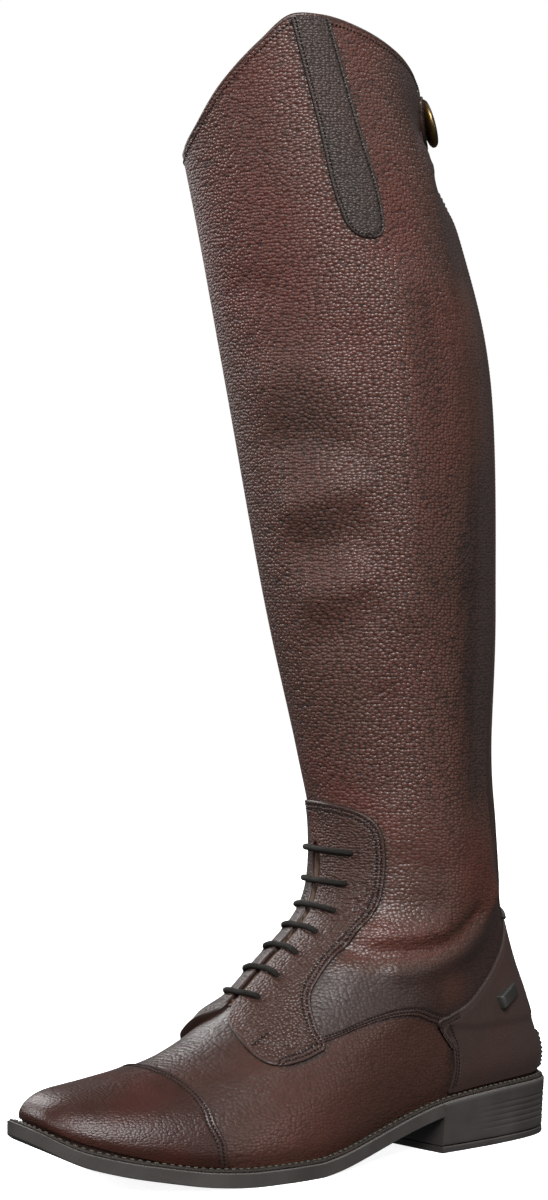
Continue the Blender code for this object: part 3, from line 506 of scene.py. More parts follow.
def leather(name, body, red, dark, grain_size, grain_depth, roughness, sheen):
    """Pebbled leather: round cells parted by fine furrows, mottled, redder where the piece says and darker
    where it paints shade, with painted highlights on the cells' crowns and lips.
    """
    n = Nodes(name)
    place = n.place()
    tint = n.field("tint")
    grain = n.field("grain")
    waves = {"Vector": place, "Scale": ROW_BEND_SCALE, "Detail": 1.0}
    bend = n.add("ShaderNodeTexNoise", waves).outputs["Color"]
    bent = n.add("ShaderNodeVectorMath", {0: bend, 1: ROW_BEND}, operation="MULTIPLY").outputs[0]
    moved = n.add("ShaderNodeVectorMath", {0: place, 1: bent}, operation="ADD").outputs[0]
    wide = n.add("ShaderNodeMapping", {"Vector": moved, "Scale": CELL_STRETCH}).outputs["Vector"]
    pattern = {"Vector": wide, "Scale": 1000.0 / grain_size, "Randomness": CELL_UNEVEN}
    middle = n.add("ShaderNodeTexVoronoi", pattern, feature="F1").outputs["Distance"]
    border = n.add("ShaderNodeTexVoronoi", pattern, feature="DISTANCE_TO_EDGE").outputs["Distance"]
    dome = n.math("SUBTRACT", 0.25, n.math("MULTIPLY", middle, middle))
    pores = n.noise(place, PORE_SCALE, 1.0)
    long = n.add("ShaderNodeMapping", {"Vector": place, "Scale": CRINKLE_STRETCH}).outputs["Vector"]
    crinkles = n.math("MULTIPLY", n.noise(long, 1.0, 2.0), n.field("crinkle"))
    fine_relief = n.math("ADD", n.math("MULTIPLY", pores, PORE_SHARE), crinkles)
    n.bump(n.math("ADD", n.math("MULTIPLY", dome, grain), fine_relief), 1.0, grain_depth)
    broad = n.noise(place, BROAD_SCALE, 3.0)
    fine = n.noise(place, FINE_SCALE, 3.0)
    mottle = n.math("ADD", n.math("MULTIPLY", broad, 0.9), n.math("MULTIPLY", fine, 0.2))
    redness = n.math("ADD", n.span(mottle, 0.50, 0.80, 0.0, MOTTLE_REDNESS), tint, clamp=True)
    colour = n.mix(redness, rgb(*body), rgb(*red))
    # Negative tint darkens towards the dark colour: mostly painted shade that the pieces lay in folds, seams,
    # stitch grooves, beside overlapping pieces and on sides turned from the light
    depth = n.math("MULTIPLY", tint, -1.0, clamp=True)
    colour = n.mix(depth, colour, rgb(*dark))
    # Painted highlight: each cell's crown is lightened towards a paler brown
    crown = n.math("MULTIPLY", n.span(middle, 0.60, 0.15, 0.0, 0.4), grain, clamp=True)
    colour = n.mix(crown, colour, rgb(*(1.8 * value + 0.012 for value in body)))
    # Painted highlight along the panels' rounded lips and between their stitch rows, from the lip field
    colour = n.mix(n.field("lip"), colour, rgb(*(1.1 * value + 0.022 for value in body)))
    # Dark furrows between the cells: partly the leather's own darker furrows, partly painted shade in these
    # recesses
    furrow = n.math("MULTIPLY", n.span(border, 0.0, FURROW_WIDTH, 0.95, 0.0), grain, clamp=True)
    colour = n.mix(furrow, colour, rgb(*(0.5 * value for value in dark)))
    rougher = n.span(furrow, 0.0, 0.8, roughness, roughness + FURROW_ROUGHER)
    gloss = n.math("ADD", n.span(fine, 0.3, 0.7, -0.05, 0.05), rougher)
    gloss = n.math("ADD", gloss, n.math("MULTIPLY", n.field("dull"), DULL_ROUGHER), clamp=True)
    return n.look(Base_Color=colour, Roughness=gloss, Specular_IOR_Level=sheen)


def suede(name, body, light):
    """Soft lining with a short nap."""
    n = Nodes(name)
    place = n.place()
    nap = n.noise(place, 900.0, 4.0)
    broad = n.noise(place, 40.0, 3.0)
    n.bump(nap, 0.6, 0.25)
    colour = n.mix(n.span(n.math("ADD", nap, broad), 0.7, 1.3), rgb(*body), rgb(*light))
    return n.look(Base_Color=colour, Roughness=0.92, Sheen_Weight=0.25)


def rubber(name, body, worn_and_painted_light, roughness):
    """Moulded rubber, with lighter rubbed edges where the piece says, and a painted highlight on the spur
    rests' front faces.
    """
    n = Nodes(name)
    place = n.place()
    speck = n.noise(place, 1400.0, 3.0)
    broad = n.noise(place, 60.0, 3.0)
    n.bump(speck, 0.35, 0.10)
    share = n.math("ADD", n.span(broad, 0.35, 0.75, 0.0, 0.35), n.field("tint"), clamp=True)
    colour = n.mix(share, rgb(*body), rgb(*worn_and_painted_light))
    gloss = n.span(speck, 0.3, 0.7, roughness - 0.06, roughness + 0.08)
    return n.look(Base_Color=colour, Roughness=gloss)


def thread(name, body, light, size):
    """Twisted thread or braid: a fine diagonal rib."""
    n = Nodes(name)
    place = n.place()
    strands = n.add("ShaderNodeTexWave", {"Vector": place, "Scale": 1000.0 / size, "Distortion": 2.0},
                    bands_direction="DIAGONAL").outputs["Fac"]
    fuzz = n.noise(place, 1800.0, 2.0)
    n.bump(n.math("ADD", strands, n.math("MULTIPLY", fuzz, 0.5)), 0.6, 0.18)
    colour = n.mix(n.span(strands, 0.0, 1.0, 0.0, 0.8), rgb(*body), rgb(*light))
    return n.look(Base_Color=colour, Roughness=0.72, Specular_IOR_Level=0.2)


def bronze(name):
    """Dark patina, rubbed bright where the piece says."""
    n = Nodes(name)
    place = n.place()
    patina = n.noise(place, 220.0, 4.0)
    scratch = n.noise(place, 1500.0, 2.0)
    n.bump(scratch, 0.25, 0.08)
    rubbed = n.math("ADD", n.span(patina, 0.45, 0.70, 0.0, 0.15), n.field("tint"), clamp=True)
    colour = n.mix(rubbed, rgb(0.040, 0.028, 0.018), rgb(0.46, 0.31, 0.12))
    return n.look(Base_Color=colour, Metallic=1.0, Roughness=n.span(patina, 0.3, 0.7, 0.5, 0.30))


BODY = (0.063, 0.0245, 0.0170)
RED = (0.084, 0.021, 0.015)
DARK = (0.020, 0.0115, 0.0095)
FACING = (0.050, 0.0200, 0.0140)
CAP = (0.028, 0.010, 0.007)
CAP_RED = (0.076, 0.013, 0.008)
COUNTER = (0.042, 0.026, 0.022)
TAB = (0.031, 0.022, 0.019)
WELT = (0.022, 0.016, 0.013)
WELT_RED = (0.035, 0.022, 0.016)
WELT_DARK = (0.008, 0.007, 0.006)
LOOKS = {
    "leather": leather("pebbled_leather", BODY, RED, DARK, 1.85, 0.64, 0.34, 0.36),
    "facing_leather": leather("facing_leather", FACING, RED, DARK, 1.6, 0.85, 0.32, 0.28),
    "cap_leather": leather("cap_leather", CAP, CAP_RED, DARK, 1.4, 0.7, 0.34, 0.29),
    "counter_leather": leather("counter_leather", COUNTER, BODY, DARK, 1.3, 0.5, 0.42, 0.30),
    "tab_leather": leather("tab_leather", TAB, BODY, DARK, 1.5, 0.55, 0.42, 0.28),
    "lining": suede("lining", (0.070, 0.042, 0.028), (0.125, 0.080, 0.055)),
    "sole_rubber": rubber("sole_rubber", (0.034, 0.029, 0.027), (0.085, 0.080, 0.075), 0.48),
    "dark_rubber": rubber("dark_rubber", (0.008, 0.0075, 0.007), (0.040, 0.037, 0.033), 0.55),
    "welt": leather("welt_leather", WELT, WELT_RED, WELT_DARK, 1.2, 0.3, 0.6, 0.3),
    "welt_thread": thread("welt_thread", (0.050, 0.046, 0.034), (0.12, 0.11, 0.085), 0.5),
    "thread": thread("dark_thread", (0.005, 0.004, 0.003), (0.016, 0.011, 0.009), 0.5),
    "lace": thread("elastic_lace", (0.006, 0.005, 0.004), (0.016, 0.013, 0.010), 0.7),
    "zip": rubber("zip_tape", (0.014, 0.013, 0.012), (0.035, 0.032, 0.030), 0.6),
    "bronze": bronze("bronze"),
}


def add_piece(name, points, faces, look, replaced=(), fields=None, second=None, sharp=None):
    """A mesh piece that rides on the boot. fields are values at its points, second a look for later faces."""
    mesh = bpy.data.meshes.new(name)
    mesh.from_pydata((np.asarray(points) * MM).tolist(), [], faces)
    mesh.materials.append(LOOKS[look])
    if second:
        mesh.materials.append(LOOKS[second[0]])
        order = np.arange(len(mesh.polygons)) >= second[1]
        mesh.polygons.foreach_set("material_index", order.astype(np.int32))
    for key, values in (fields or {}).items():
        layer = mesh.attributes.new(key, "FLOAT", "POINT")
        layer.data.foreach_set("value", np.asarray(values, np.float32).ravel())
    mesh.shade_smooth()
    if sharp:
        mesh.set_sharp_from_angle(angle=math.radians(sharp))
    piece = bpy.data.objects.new(name, mesh)
    bpy.context.scene.collection.objects.link(piece)
    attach(piece, "root")
    if replaced:
        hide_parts(*replaced)
    return piece


def wall_faces(rows, columns):
    """Faces of a closed wall between a top grid of points and an under grid of as many rows and columns."""
    r, c = (a.ravel() for a in np.meshgrid(np.arange(rows - 1), np.arange(columns - 1), indexing="ij"))
    under = rows * columns
    a = r * columns + c
    b, d, e = a + 1, a + columns, a + columns + 1
    faces = [np.stack([a, b, e, d], 1), np.stack([a, d, e, b], 1) + under]
    rims = [(r == 0, b, a), (r == rows - 2, d, e), (c == 0, a, d), (c == columns - 2, e, b)]
    for chosen, first, second in rims:
        p, q = first[chosen], second[chosen]
        faces.append(np.stack([p, q, q + under, p + under], 1))
    return np.concatenate(faces).tolist()


def two_walls(top, under):
    """Points of a top grid, then those of the grid under it."""
    return np.concatenate([top.reshape(-1, 3), under.reshape(-1, 3)])


def ring_faces(rings, columns, first=0, inward=False, closed=False, gaps=()):
    """Quads between rings of points, the first at point first. closed joins the last ring to the first one.

    A ring listed in gaps isn't joined from its last column to its first one.
    """
    faces = []
    for i in range(rings if closed else rings - 1):
        a, b = first + i * columns, first + (i + 1) % rings * columns
        for j in range(columns - (i in gaps)):
            k = (j + 1) % columns
            faces.append((a + j, b + j, b + k, a + k) if inward else (a + j, a + k, b + k, b + j))
    return faces


def circle(sides, across, up):
    """Directions round a circle, from across towards up."""
    around = np.arange(sides) * 2 * math.pi / sides
    return np.cos(around)[:, None] * across + np.sin(around)[:, None] * up


def crowded(count, share):
    """Steps from 0 to 1 that lie closer at both ends."""
    even = np.linspace(0, 1, count)
    return share * (1 - np.cos(math.pi * even)) / 2 + (1 - share) * even


def edge_path(table, place, count):
    """Levels and turns of a smooth path through a table of edge points."""
    table = np.array(table, float)
    corners = FORM.at(table[:, 0], place(table[:, 0], table[:, 1]))
    run = path_run(corners)
    steps = np.linspace(0, run[-1], count)
    level = hermite(run, table[:, 0], steps)
    reach = hermite(run, table[:, 1], steps)
    return level, place(level, reach)


def both_sides(table):
    """An edge on the outer side and its mirror on the inner side, in one run."""
    return list(table) + [Edge(point.level, -point.reach) for point in reversed(table[:-1])]


def ruled(start, end, columns, share=0.6):
    """Grid of levels and turns ruled between two paths."""
    steps = crowded(columns, share)[None]
    level = start[0][:, None] * (1 - steps) + end[0][:, None] * steps
    turn = start[1][:, None] * (1 - steps) + end[1][:, None] * steps
    return level, turn


# The quarter's edge over the vamp, and how its height thins out above the edge
QUARTER_LIFT = 0.75
THIN_SHARE = 0.6
THIN_FROM = 20
THIN_OVER = 40


def seam_level(turn):
    """Level of the quarter's lower edge at a turn."""
    table = np.array(QUARTER_SEAM)
    return hermite(table[:, 0], table[:, 1], round_share(turn))


def crease_relief(points):
    """Height that the creases add at points of the form."""
    relief = np.zeros(points.shape[:-1])
    for crease in CREASES:
        path = np.array(crease.path)
        steps = np.linspace(0, len(path) - 1, 4 * len(path))
        spine = FORM.at(*(np.interp(steps, np.arange(len(path)), path[:, k]) for k in range(2)))
        reach = 3 * crease.width
        near = ((points > spine.min(axis=0) - reach) & (points < spine.max(axis=0) + reach)).all(axis=-1)
        relief[near] += crease.height * bell(distance_to_path(points[near], spine) / crease.width)
    return relief


def from_tab(level, reach):
    """Turn at a distance from the side tab's middle line."""
    return TAB_TURN + reach / FORM.half(level, 1)


def thinned(above):
    """Share of the quarter's height that is left above its edge, where its leather runs thin."""
    return 1 - THIN_SHARE * smooth((above - THIN_FROM) / THIN_OVER)


def ground(level, turn):
    """Height of the upper's leather over the form, where another piece lies on it."""
    level, turn = np.broadcast_arrays(np.asarray(level, float), np.asarray(turn, float))
    above = (level - seam_level(turn)) * FORM.rise(level, turn)
    quarter = QUARTER_LIFT * smooth((above + 2) / 4) * thinned(above)
    return crease_relief(FORM.at(level, turn)) + quarter


Panel = namedtuple("Panel", "level turn height gap sewn")
LIP_RADIUS = 0.8
GROOVE = 0.34
GROOVE_WIDTH = 0.50
SUNK = 0.9
# Painted shade: widths of the dark lines along a panel's edge and along its stitch grooves, and how much
# those grooves are darkened
LINE_WIDTH = 0.45
STITCH_SHADE = 0.7
UNDER_TINT = 0.8
STITCH_RAISED = 0.12
LOOK_AHEAD = 0.3


def painted_lip_highlight(gap):
    """Painted highlight lines beside an edge: on its rounded lip, and between its rows of stitches."""
    return bell((gap - 0.9) / 0.5) + 0.7 * bell((gap - 2.75) / 0.6)


def panel(name, grid, thickness, lips, stitched, look, replaced, tint=0.0, grain=1.0, flip=False,
          lift=0.0, lip_highlight=0.4, sewn=None, crinkle=0.0, joined=None):
    """Leather on the form, with rounded lips, and grooves under the rows of stitches along its end edge."""
    level, turn = grid
    base = FORM.at(level, turn)
    free = slice(None) if joined is None else ~joined
    borders = {"start": base[free, 0], "end": base[:, -1]}
    gap = np.min([distance_to_path(base, borders[lip]) for lip in lips], axis=0)
    stitch_gap = distance_to_path(base, borders["end"])
    inward = np.clip(1 - gap / LIP_RADIUS, 0, 1)
    floor = ground(level, turn)
    height = floor + lift + thickness * (0.25 + 0.75 * np.sqrt(1 - inward**2))
    sewn = np.ones(len(level)) if sewn is None else sewn
    # Painted shade: a dark line along the panel's lipped edges and in the grooves of its stitch rows
    shade = tint - bell(gap / LINE_WIDTH)
    for row in stitched:
        height = height - sewn[:, None] * GROOVE * bell((stitch_gap - row) / GROOVE_WIDTH)
        shade = shade - sewn[:, None] * STITCH_SHADE * bell((stitch_gap - row) / LINE_WIDTH)
    points = two_walls(FORM.at(level, turn, height), FORM.at(level, turn, floor - SUNK))
    faces = wall_faces(*level.shape)
    if flip:
        faces = [face[::-1] for face in faces]
    plain = np.zeros(level.size)
    fields = {
        "lip": np.concatenate([(lip_highlight * painted_lip_highlight(gap)).ravel(), plain]),
        "tint": np.concatenate([shade.ravel(), plain + UNDER_TINT]),
        "crinkle": np.concatenate([np.broadcast_to(crinkle, level.shape).ravel(), plain]),
        "grain": np.concatenate([(grain * smooth(gap / 1.5)).ravel(), plain]),
    }
    add_piece(name, points, faces, look, replaced, fields)
    return Panel(level, turn, height, stitch_gap, sewn)


def panel_rows(made, rows):
    """Paths of points and normals on a panel at each distance from its end edge, where it is sewn."""
    paths = []
    for row in rows:
        places = []
        for level, turn, height, gap, sewn in zip(made.level, made.turn, made.height, made.gap, made.sewn):
            if sewn > 0.5 and gap.max() > row + 1.0:
                first = int(np.argmax(gap[::-1] > row))
                near, far = gap[::-1][first - 1], gap[::-1][first]
                at = len(gap) - first - (row - near) / max(far - near, 1e-6)
                columns = np.arange(len(gap))
                places.append([np.interp(at, columns, values) for values in (level, turn, height)])
            elif places:
                paths.append(surface_path(*np.array(places).T))
                places = []
        if places:
            paths.append(surface_path(*np.array(places).T))
    return [path for path in paths if len(path[0]) > 3]


def edge_rows(made, rows):
    """Paths along the end edge of a narrow panel, and along its start edge as the mirror of the other."""
    level, turn, height = (values[:, ::-1] for values in (made.level, made.turn, made.height))
    return panel_rows(made, rows) + panel_rows(made._replace(level=level, turn=turn, height=height), rows)


def surface_path(level, turn, height):
    """Points over the form and its normals there."""
    return FORM.at(level, turn, height), FORM.normal(level, turn)


def spread(path, pitch):
    """Places, directions and normals at even steps along a path."""
    points, normals = path
    run = path_run(points)
    count = max(int(run[-1] / pitch), 1)
    steps = (np.arange(count) + 0.5) * run[-1] / count
    after = read_path(np.minimum(steps + LOOK_AHEAD, run[-1]), run, points)
    before = read_path(np.maximum(steps - LOOK_AHEAD, 0), run, points)
    ahead = unit(after - before)
    normal = read_path(steps, run, normals)
    normal = unit(normal - ahead * (normal * ahead).sum(1, keepdims=True))
    return read_path(steps, run, points), ahead, normal


def scatter(paths, pitch, template, faces):
    """Copies of a small shape along paths, its x along the path and its z away from the surface."""
    points = []
    all_faces = []
    for path in paths:
        place, ahead, normal = spread(path, pitch)
        side = np.cross(normal, ahead)
        for p, x, y, z in zip(place, ahead, side, normal):
            first = len(points) * len(template)
            points.append(p + template @ np.stack([x, y, z]))
            all_faces.extend([[first + i for i in face] for face in faces])
    return np.concatenate(points), all_faces


def bead(length, width, height, rings=5, sides=6):
    """A rounded stitch: rings of points from one end to the other."""
    points = [(-length / 2, 0, 0)]
    for angle in np.linspace(math.pi, 0, rings + 2)[1:-1]:
        for around in np.arange(sides) * 2 * math.pi / sides:
            ring = math.sin(angle) ** 0.6
            points.append((math.cos(angle) * length / 2, ring * width / 2 * math.cos(around),
                           ring * height / 2 * math.sin(around)))
    points.append((length / 2, 0, 0))
    faces = []
    last = len(points) - 1
    for s in range(sides):
        t = (s + 1) % sides
        faces.append((0, 1 + t, 1 + s))
        faces.append((last, last - sides + s, last - sides + t))
        for ring in range(rings - 1):
            a = 1 + ring * sides
            faces.append((a + s, a + t, a + sides + t, a + sides + s))
    return np.array(points), faces


def stitches(name, paths, pitch=STITCH_PITCH, look="thread", width=0.84, share=0.62):
    """Rows of stitches along paths, each as long as a share of the pitch."""
    template, faces = bead(pitch * share, width, width * 0.8, 3)
    raised = [(place + STITCH_RAISED * normal, normal) for place, normal in paths]
    points, all_faces = scatter(raised, pitch, template, faces)
    add_piece(name, points, all_faces, look)


def tube(points, radius, sides=12):
    """Points and faces of a round tube along a path, closed at its ends."""
    ahead = unit(np.gradient(points, axis=0))
    side = unit(np.cross(ahead, np.array([0.0, 0.0, 1.0])))
    over = np.cross(side, ahead)
    rings = [p + radius * circle(sides, s, o) for p, s, o in zip(points, side, over)]
    faces = ring_faces(len(rings), sides)
    last = (len(rings) - 1) * sides
    faces.append(tuple(range(sides))[::-1])
    faces.append(tuple(range(last, last + sides)))
    return np.concatenate(rings), faces


# Columns and rows of the upper: closer at the back seam and over the quarter's edge
BACK_COLUMN = 0.79
BACK_WARP = 0.17
UPPER_COLUMNS = 122
LOWER_ROWS = 44
SEAM_ROWS = (0.0, 0.12, 0.35, 0.7, 1.1, 1.5, 1.9, 2.3, 2.8, 3.4, 3.9, 4.3, 4.7, 5.3, 6.5, 8.5)
SHAFT_ROWS = 168
BACK_DROP = 0.55
INNER_STEP = 4
CLOSE_COLUMNS = (-0.006, -0.0025, -0.0008, 0.0008, 0.0025, 0.006)
CLEAR_COLUMNS = 0.008
SHAFT_FROM_LEVEL = 4.6
SEAM_NEAR_LEVEL = 4.0
LOWER_CROWDING = 0.9
VAMP_DROP = 0.1
# Looks of the upper: pressed and darkened with painted shade at the ankle, worn, dull and darkened with
# painted shade near the back seam, stretched over the calf; painted shadow beside the pieces laid over it and
# along the quarter's seam, and a painted highlight on the quarter's lip
BACK_FROM_LEVEL = 5.4
ANKLE_SIDES = (0.2, 0.36, 0.46, 0.55, 0.64, 0.72, 0.8)
ANKLE_LEVELS = (6.3, 5.95, 5.75, 5.65, 5.7, 6.1, 6.6)
OVERLAID_SHADE = 0.9
OVERLAID_WIDTH = 1.3
VAMP_GRAIN = 0.34
LIP_HIGHLIGHT = 0.4
PRESSED_SOFT = 0.6
PRESSED_SHADE = 0.9
WORN_SHADED_REACH = 28
WORN_SHADED_SOFT = 18
WORN_SHADED_FROM_LEVEL = 7.8
STRETCHED_FROM_LEVEL = 7.4
CALF_SOFT = 1.8
BEHIND_SHADE = 0.9
SEAM_SHADE = 0.9
DULL_REACH = 18
DULL_SOFT = 10
QUARTER_SEWN = (0.335, 0.672)
# Folded binding of the collar: millimetres down from the edge and out from the form
BINDING = [
    (1.9, 0.05), (1.7, 0.30), (1.2, 0.38), (0.5, 0.38), (-0.30, 0.10), (-0.55, -0.6), (-0.55, -1.4),
    (-0.30, -2.1), (0.5, -2.4), (1.7, -2.3), (1.9, -2.0),
]
COLLAR_ROW = 3.3
COLLAR_PITCH = 1.8
COLLAR_COLUMNS = 320
COLLAR_THREAD = 0.34
# Thickness of the sewn panels
CAP_THICK = 0.85
COUNTER_THICK = 0.95
TAB_THICK = 1.1
GUARD_THICK = 0.6
SNAP_TAB_THICK = 1.0


def back_seam_share(level):
    """Place of the back seam round one side of a loop."""
    table = np.array(BACK_SEAM)
    level = np.clip(level, table[0, 0], table[-1, 0])
    return 1 - hermite(table[:, 0], table[:, 1], level) / FORM.half(level, 1)


def upper_columns():
    """Shares round one side for the upper's columns, close together at the back seam."""
    even = np.linspace(0, 1, UPPER_COLUMNS)
    close = BACK_COLUMN + np.array(CLOSE_COLUMNS)
    kept = even[np.abs(even - BACK_COLUMN) > CLEAR_COLUMNS]
    return np.sort(np.concatenate([kept, close]))


def upper_turn(share, side, level):
    """Turn of a column: it starts at the slit's edge and bends to follow the back seam."""
    hat = np.clip(1 - np.abs(share - BACK_COLUMN) / BACK_WARP, 0, 1)
    share = share + smooth(hat) * (back_seam_share(level) - BACK_COLUMN)
    edge = SLIT_HALF / FORM.half(level, side)
    turn = edge + (1 - edge) * share
    return np.where(side > 0, turn, 2 - turn)


def shaft_levels():
    """Shares of the way up from the seam, even in millimetres along the side of the boot."""
    levels = np.linspace(SHAFT_FROM_LEVEL, LAST_LEVEL, 200)
    run = path_run(FORM.at(levels, np.full(200, 0.5)))
    wanted = np.interp(np.linspace(0, run[-1], SHAFT_ROWS + 1), run, levels)
    return (wanted - wanted[0]) / (wanted[-1] - wanted[0])


def upper_relief(level, share, above):
    """Height of the upper's surface over its creases: the quarter's lip and the back seam's step."""
    relief = np.where(above >= 0, QUARTER_LIFT * (0.3 + 0.7 * smooth(above / 0.9)), -VAMP_DROP)
    for row in DOUBLE_ROW:
        relief = relief - np.where(above >= 0, GROOVE * bell((above - row) / GROOVE_WIDTH), 0)
    relief = relief * thinned(above)
    drop = smooth((share - BACK_COLUMN + 0.0012) / 0.0024) * smooth((level - BACK_FROM_LEVEL) / 0.3)
    return relief - BACK_DROP * drop


def upper_fields(points, level, turn, share, above):
    """Tint, grain, painted lip highlight and dullness of the upper; a negative tint is mostly painted shade.
    Below the quarter's edge, above is negative.
    """
    quarter = above >= 0
    tint = np.zeros(level.shape)
    # Red patches, and painted shade in the troughs of the folds where a patch is negative
    for patch in RED_PATCHES_AND_FOLD_SHADE:
        centre = FORM.at(np.array(patch.level), np.array(patch.turn))
        tint = tint + patch.tint * bell(np.linalg.norm(points - centre, axis=-1) / patch.radius)
    side = round_share(turn)
    ankle = np.interp(side, ANKLE_SIDES, ANKLE_LEVELS)
    pressed = smooth((ankle - level) / PRESSED_SOFT) * smooth((above + 1) / 3)
    behind = smooth((share - BACK_COLUMN) / 0.004) * smooth((level - BACK_FROM_LEVEL) / 0.3)
    from_seam = FORM.half(level, 1) * (BACK_COLUMN - share)
    worn_and_painted_light = smooth((WORN_SHADED_REACH - from_seam) / WORN_SHADED_SOFT) * smooth((level - WORN_SHADED_FROM_LEVEL) / CALF_SOFT)
    stretched = 0.6 + 0.4 * smooth((level - STRETCHED_FROM_LEVEL) / CALF_SOFT)
    grain = np.where(quarter, stretched - 0.30 * pressed, VAMP_GRAIN) * (1 - 0.70 * behind) * (1 - 0.5 * worn_and_painted_light)
    # Painted shade: the band near the back seam darkened, partly as darker worn leather, partly as shade
    # where the side turns from the light; the strip behind the seam darkened further
    tint = tint - worn_and_painted_light - BEHIND_SHADE * behind
    # Painted shade along the quarter's edge and in its stitch grooves, and a painted shadow on the vamp just
    # under that edge
    sewn = bell(above / LINE_WIDTH)
    for row in DOUBLE_ROW:
        sewn = sewn + STITCH_SHADE * bell((above - row) / LINE_WIDTH)
    shadow = SEAM_SHADE * bell((level - seam_level(turn)) / 0.06)
    tint = tint - np.where(quarter, sewn, shadow)
    # Painted shadow on the upper beside the edges of the facing, counter and side tab laid over it
    overlaid = [(FACING_BACK, FORM.from_front), (COUNTER_EDGE, FORM.from_back), (TAB_EDGE, from_tab)]
    for table, place in overlaid:
        for way in (1, -1):
            edge = FORM.at(*edge_path(table, lambda at, reach: place(at, way * reach), 90))
            low, high = edge.min(axis=0) - 4, edge.max(axis=0) + 4
            near = ((points > low) & (points < high)).all(axis=-1)
            tint[near] -= OVERLAID_SHADE * bell(distance_to_path(points[near], edge) / OVERLAID_WIDTH)
    # Painted shade: the pressed ankle darkened, and the vamp darkened most along its top and less on its
    # sides
    vamp_shade = SEAM_SHADE - 0.5 * smooth((side - 0.2) / 0.2)
    tint = tint - np.where(quarter, PRESSED_SHADE * pressed, vamp_shade)
    # Painted highlight on the quarter's lip and between its stitch rows
    lip = np.where(quarter, LIP_HIGHLIGHT * painted_lip_highlight(above), 0)
    dull = worn_and_painted_light * smooth((DULL_REACH - from_seam) / DULL_SOFT)
    dull = np.maximum(dull, np.where(quarter, 0.22 * pressed, 0))
    return {"tint": np.clip(tint, -1, 1), "grain": grain, "lip": lip, "dull": dull}


def make_upper():
    """The upper's outer leather as one fine grid, and its lining, joined at the rims and the throat slit."""
    share = upper_columns()
    share = np.concatenate([share, share[-2::-1]])
    side = np.where(np.arange(len(share)) < (len(share) + 1) // 2, 1, -1)
    seam = seam_level(upper_turn(share, side, np.full(len(share), SEAM_NEAR_LEVEL)))
    per_level = FORM.rise(seam, upper_turn(share, side, seam))
    lower = [seam * v for v in np.linspace(0, 1, LOWER_ROWS) ** LOWER_CROWDING]
    lip = [seam + d / per_level for d in SEAM_ROWS]
    rest = [lip[-1] + (LAST_LEVEL - lip[-1]) * v for v in shaft_levels()[1:]]
    level = np.array(lower + lip + rest)
    share = np.broadcast_to(share, level.shape)
    side = np.broadcast_to(side, level.shape)
    turn = upper_turn(share, side, level)
    above = np.where(np.arange(len(level))[:, None] < LOWER_ROWS, -1.0, (level - seam) * per_level)
    base = FORM.at(level, turn)
    creased = crease_relief(base)
    relief = creased + upper_relief(level, share, above)
    fields = upper_fields(base, level, turn, share, above)
    rows, columns = level.shape
    outer = FORM.at(level, turn, relief)
    in_slit = (level[:, 0] >= SLIT_LEVELS[0]) & (level[:, 0] <= SLIT_LEVELS[1])
    kept = np.nonzero(in_slit | (np.arange(rows) % INNER_STEP == 0) | (np.arange(rows) == rows - 1))[0]
    inner = FORM.at(level[kept], turn[kept], creased[kept] - WALL)
    open_rows = set(np.nonzero(in_slit)[0][:-1].tolist())
    first = rows * columns
    outside = ring_faces(rows, columns, gaps=open_rows)
    slit = [i for i, row in enumerate(kept) if row in open_rows]
    inside = ring_faces(len(kept), columns, first, inward=True, gaps=slit)
    last = first + (len(kept) - 1) * columns
    for j in range(columns):
        k = (j + 1) % columns
        inside.append((k, j, first + j, first + k))
        inside.append(((rows - 1) * columns + j, (rows - 1) * columns + k, last + k, last + j))
    inside += slit_walls(kept, slit, columns, first)
    plain = np.zeros(kept.size * columns)
    fields = {key: np.concatenate([value.ravel(), plain]) for key, value in fields.items()}
    add_piece("upper_leather", two_walls(outer, inner), outside + inside, "leather", ("upper",),
              fields, ("lining", len(outside)), sharp=60)
    return seam, per_level, share[0], side[0]


def slit_walls(kept, slit, columns, first):
    """Walls of the throat slit: along both its sides and across its two ends."""
    walls = []
    for i in slit:
        a, b = kept[i] * columns, kept[i + 1] * columns
        c, d = first + i * columns, first + (i + 1) * columns
        walls.append((a, b, d, c))
        e, f, g, h = (v + columns - 1 for v in (a, b, c, d))
        walls.append((f, e, g, h))
    low, high = slit[0], slit[-1] + 1
    a, c = kept[low] * columns, first + low * columns
    walls.append((a + columns - 1, a, c, c + columns - 1))
    b, d = kept[high] * columns, first + high * columns
    walls.append((b, b + columns - 1, d + columns - 1, d))
    return walls


def quarter_stitches(seam, per_level, share, side):
    """Two rows of stitches along the quarter's lower edge, on both sides of the boot."""
    paths = []
    for way in (1, -1):
        for row in DOUBLE_ROW:
            level = seam + row / per_level
            turn = upper_turn(share, side, level)
            near = round_share(turn)
            chosen = (side == way) & (near > QUARTER_SEWN[0]) & (near < QUARTER_SEWN[1])
            creased = crease_relief(FORM.at(level[chosen], turn[chosen]))
            paths.append(surface_path(level[chosen], turn[chosen], creased + QUARTER_LIFT - 0.2))
    stitches("quarter_stitches", paths)


def make_collar():
    """A folded binding over the collar's edge and a row of stitches under it."""
    turn = np.linspace(0, 2, COLLAR_COLUMNS, endpoint=False)
    per_level = FORM.rise(np.full(turn.shape, LAST_LEVEL - 0.1), turn)
    rings = []
    for down, out in BINDING:
        ring = FORM.at(LAST_LEVEL - max(down, 0) / per_level, turn, out)
        ring[:, 2] += max(-down, 0)
        rings.append(ring)
    points = np.concatenate(rings)
    fields = {"tint": np.full(len(points), -0.6), "grain": np.full(len(points), 0.3)}
    faces = ring_faces(len(rings), len(turn), closed=True)
    add_piece("collar_binding", points, faces, "leather", (), fields)
    path = surface_path(LAST_LEVEL - COLLAR_ROW / per_level, turn, COLLAR_THREAD)
    stitches("collar_stitches", [path], pitch=COLLAR_PITCH)


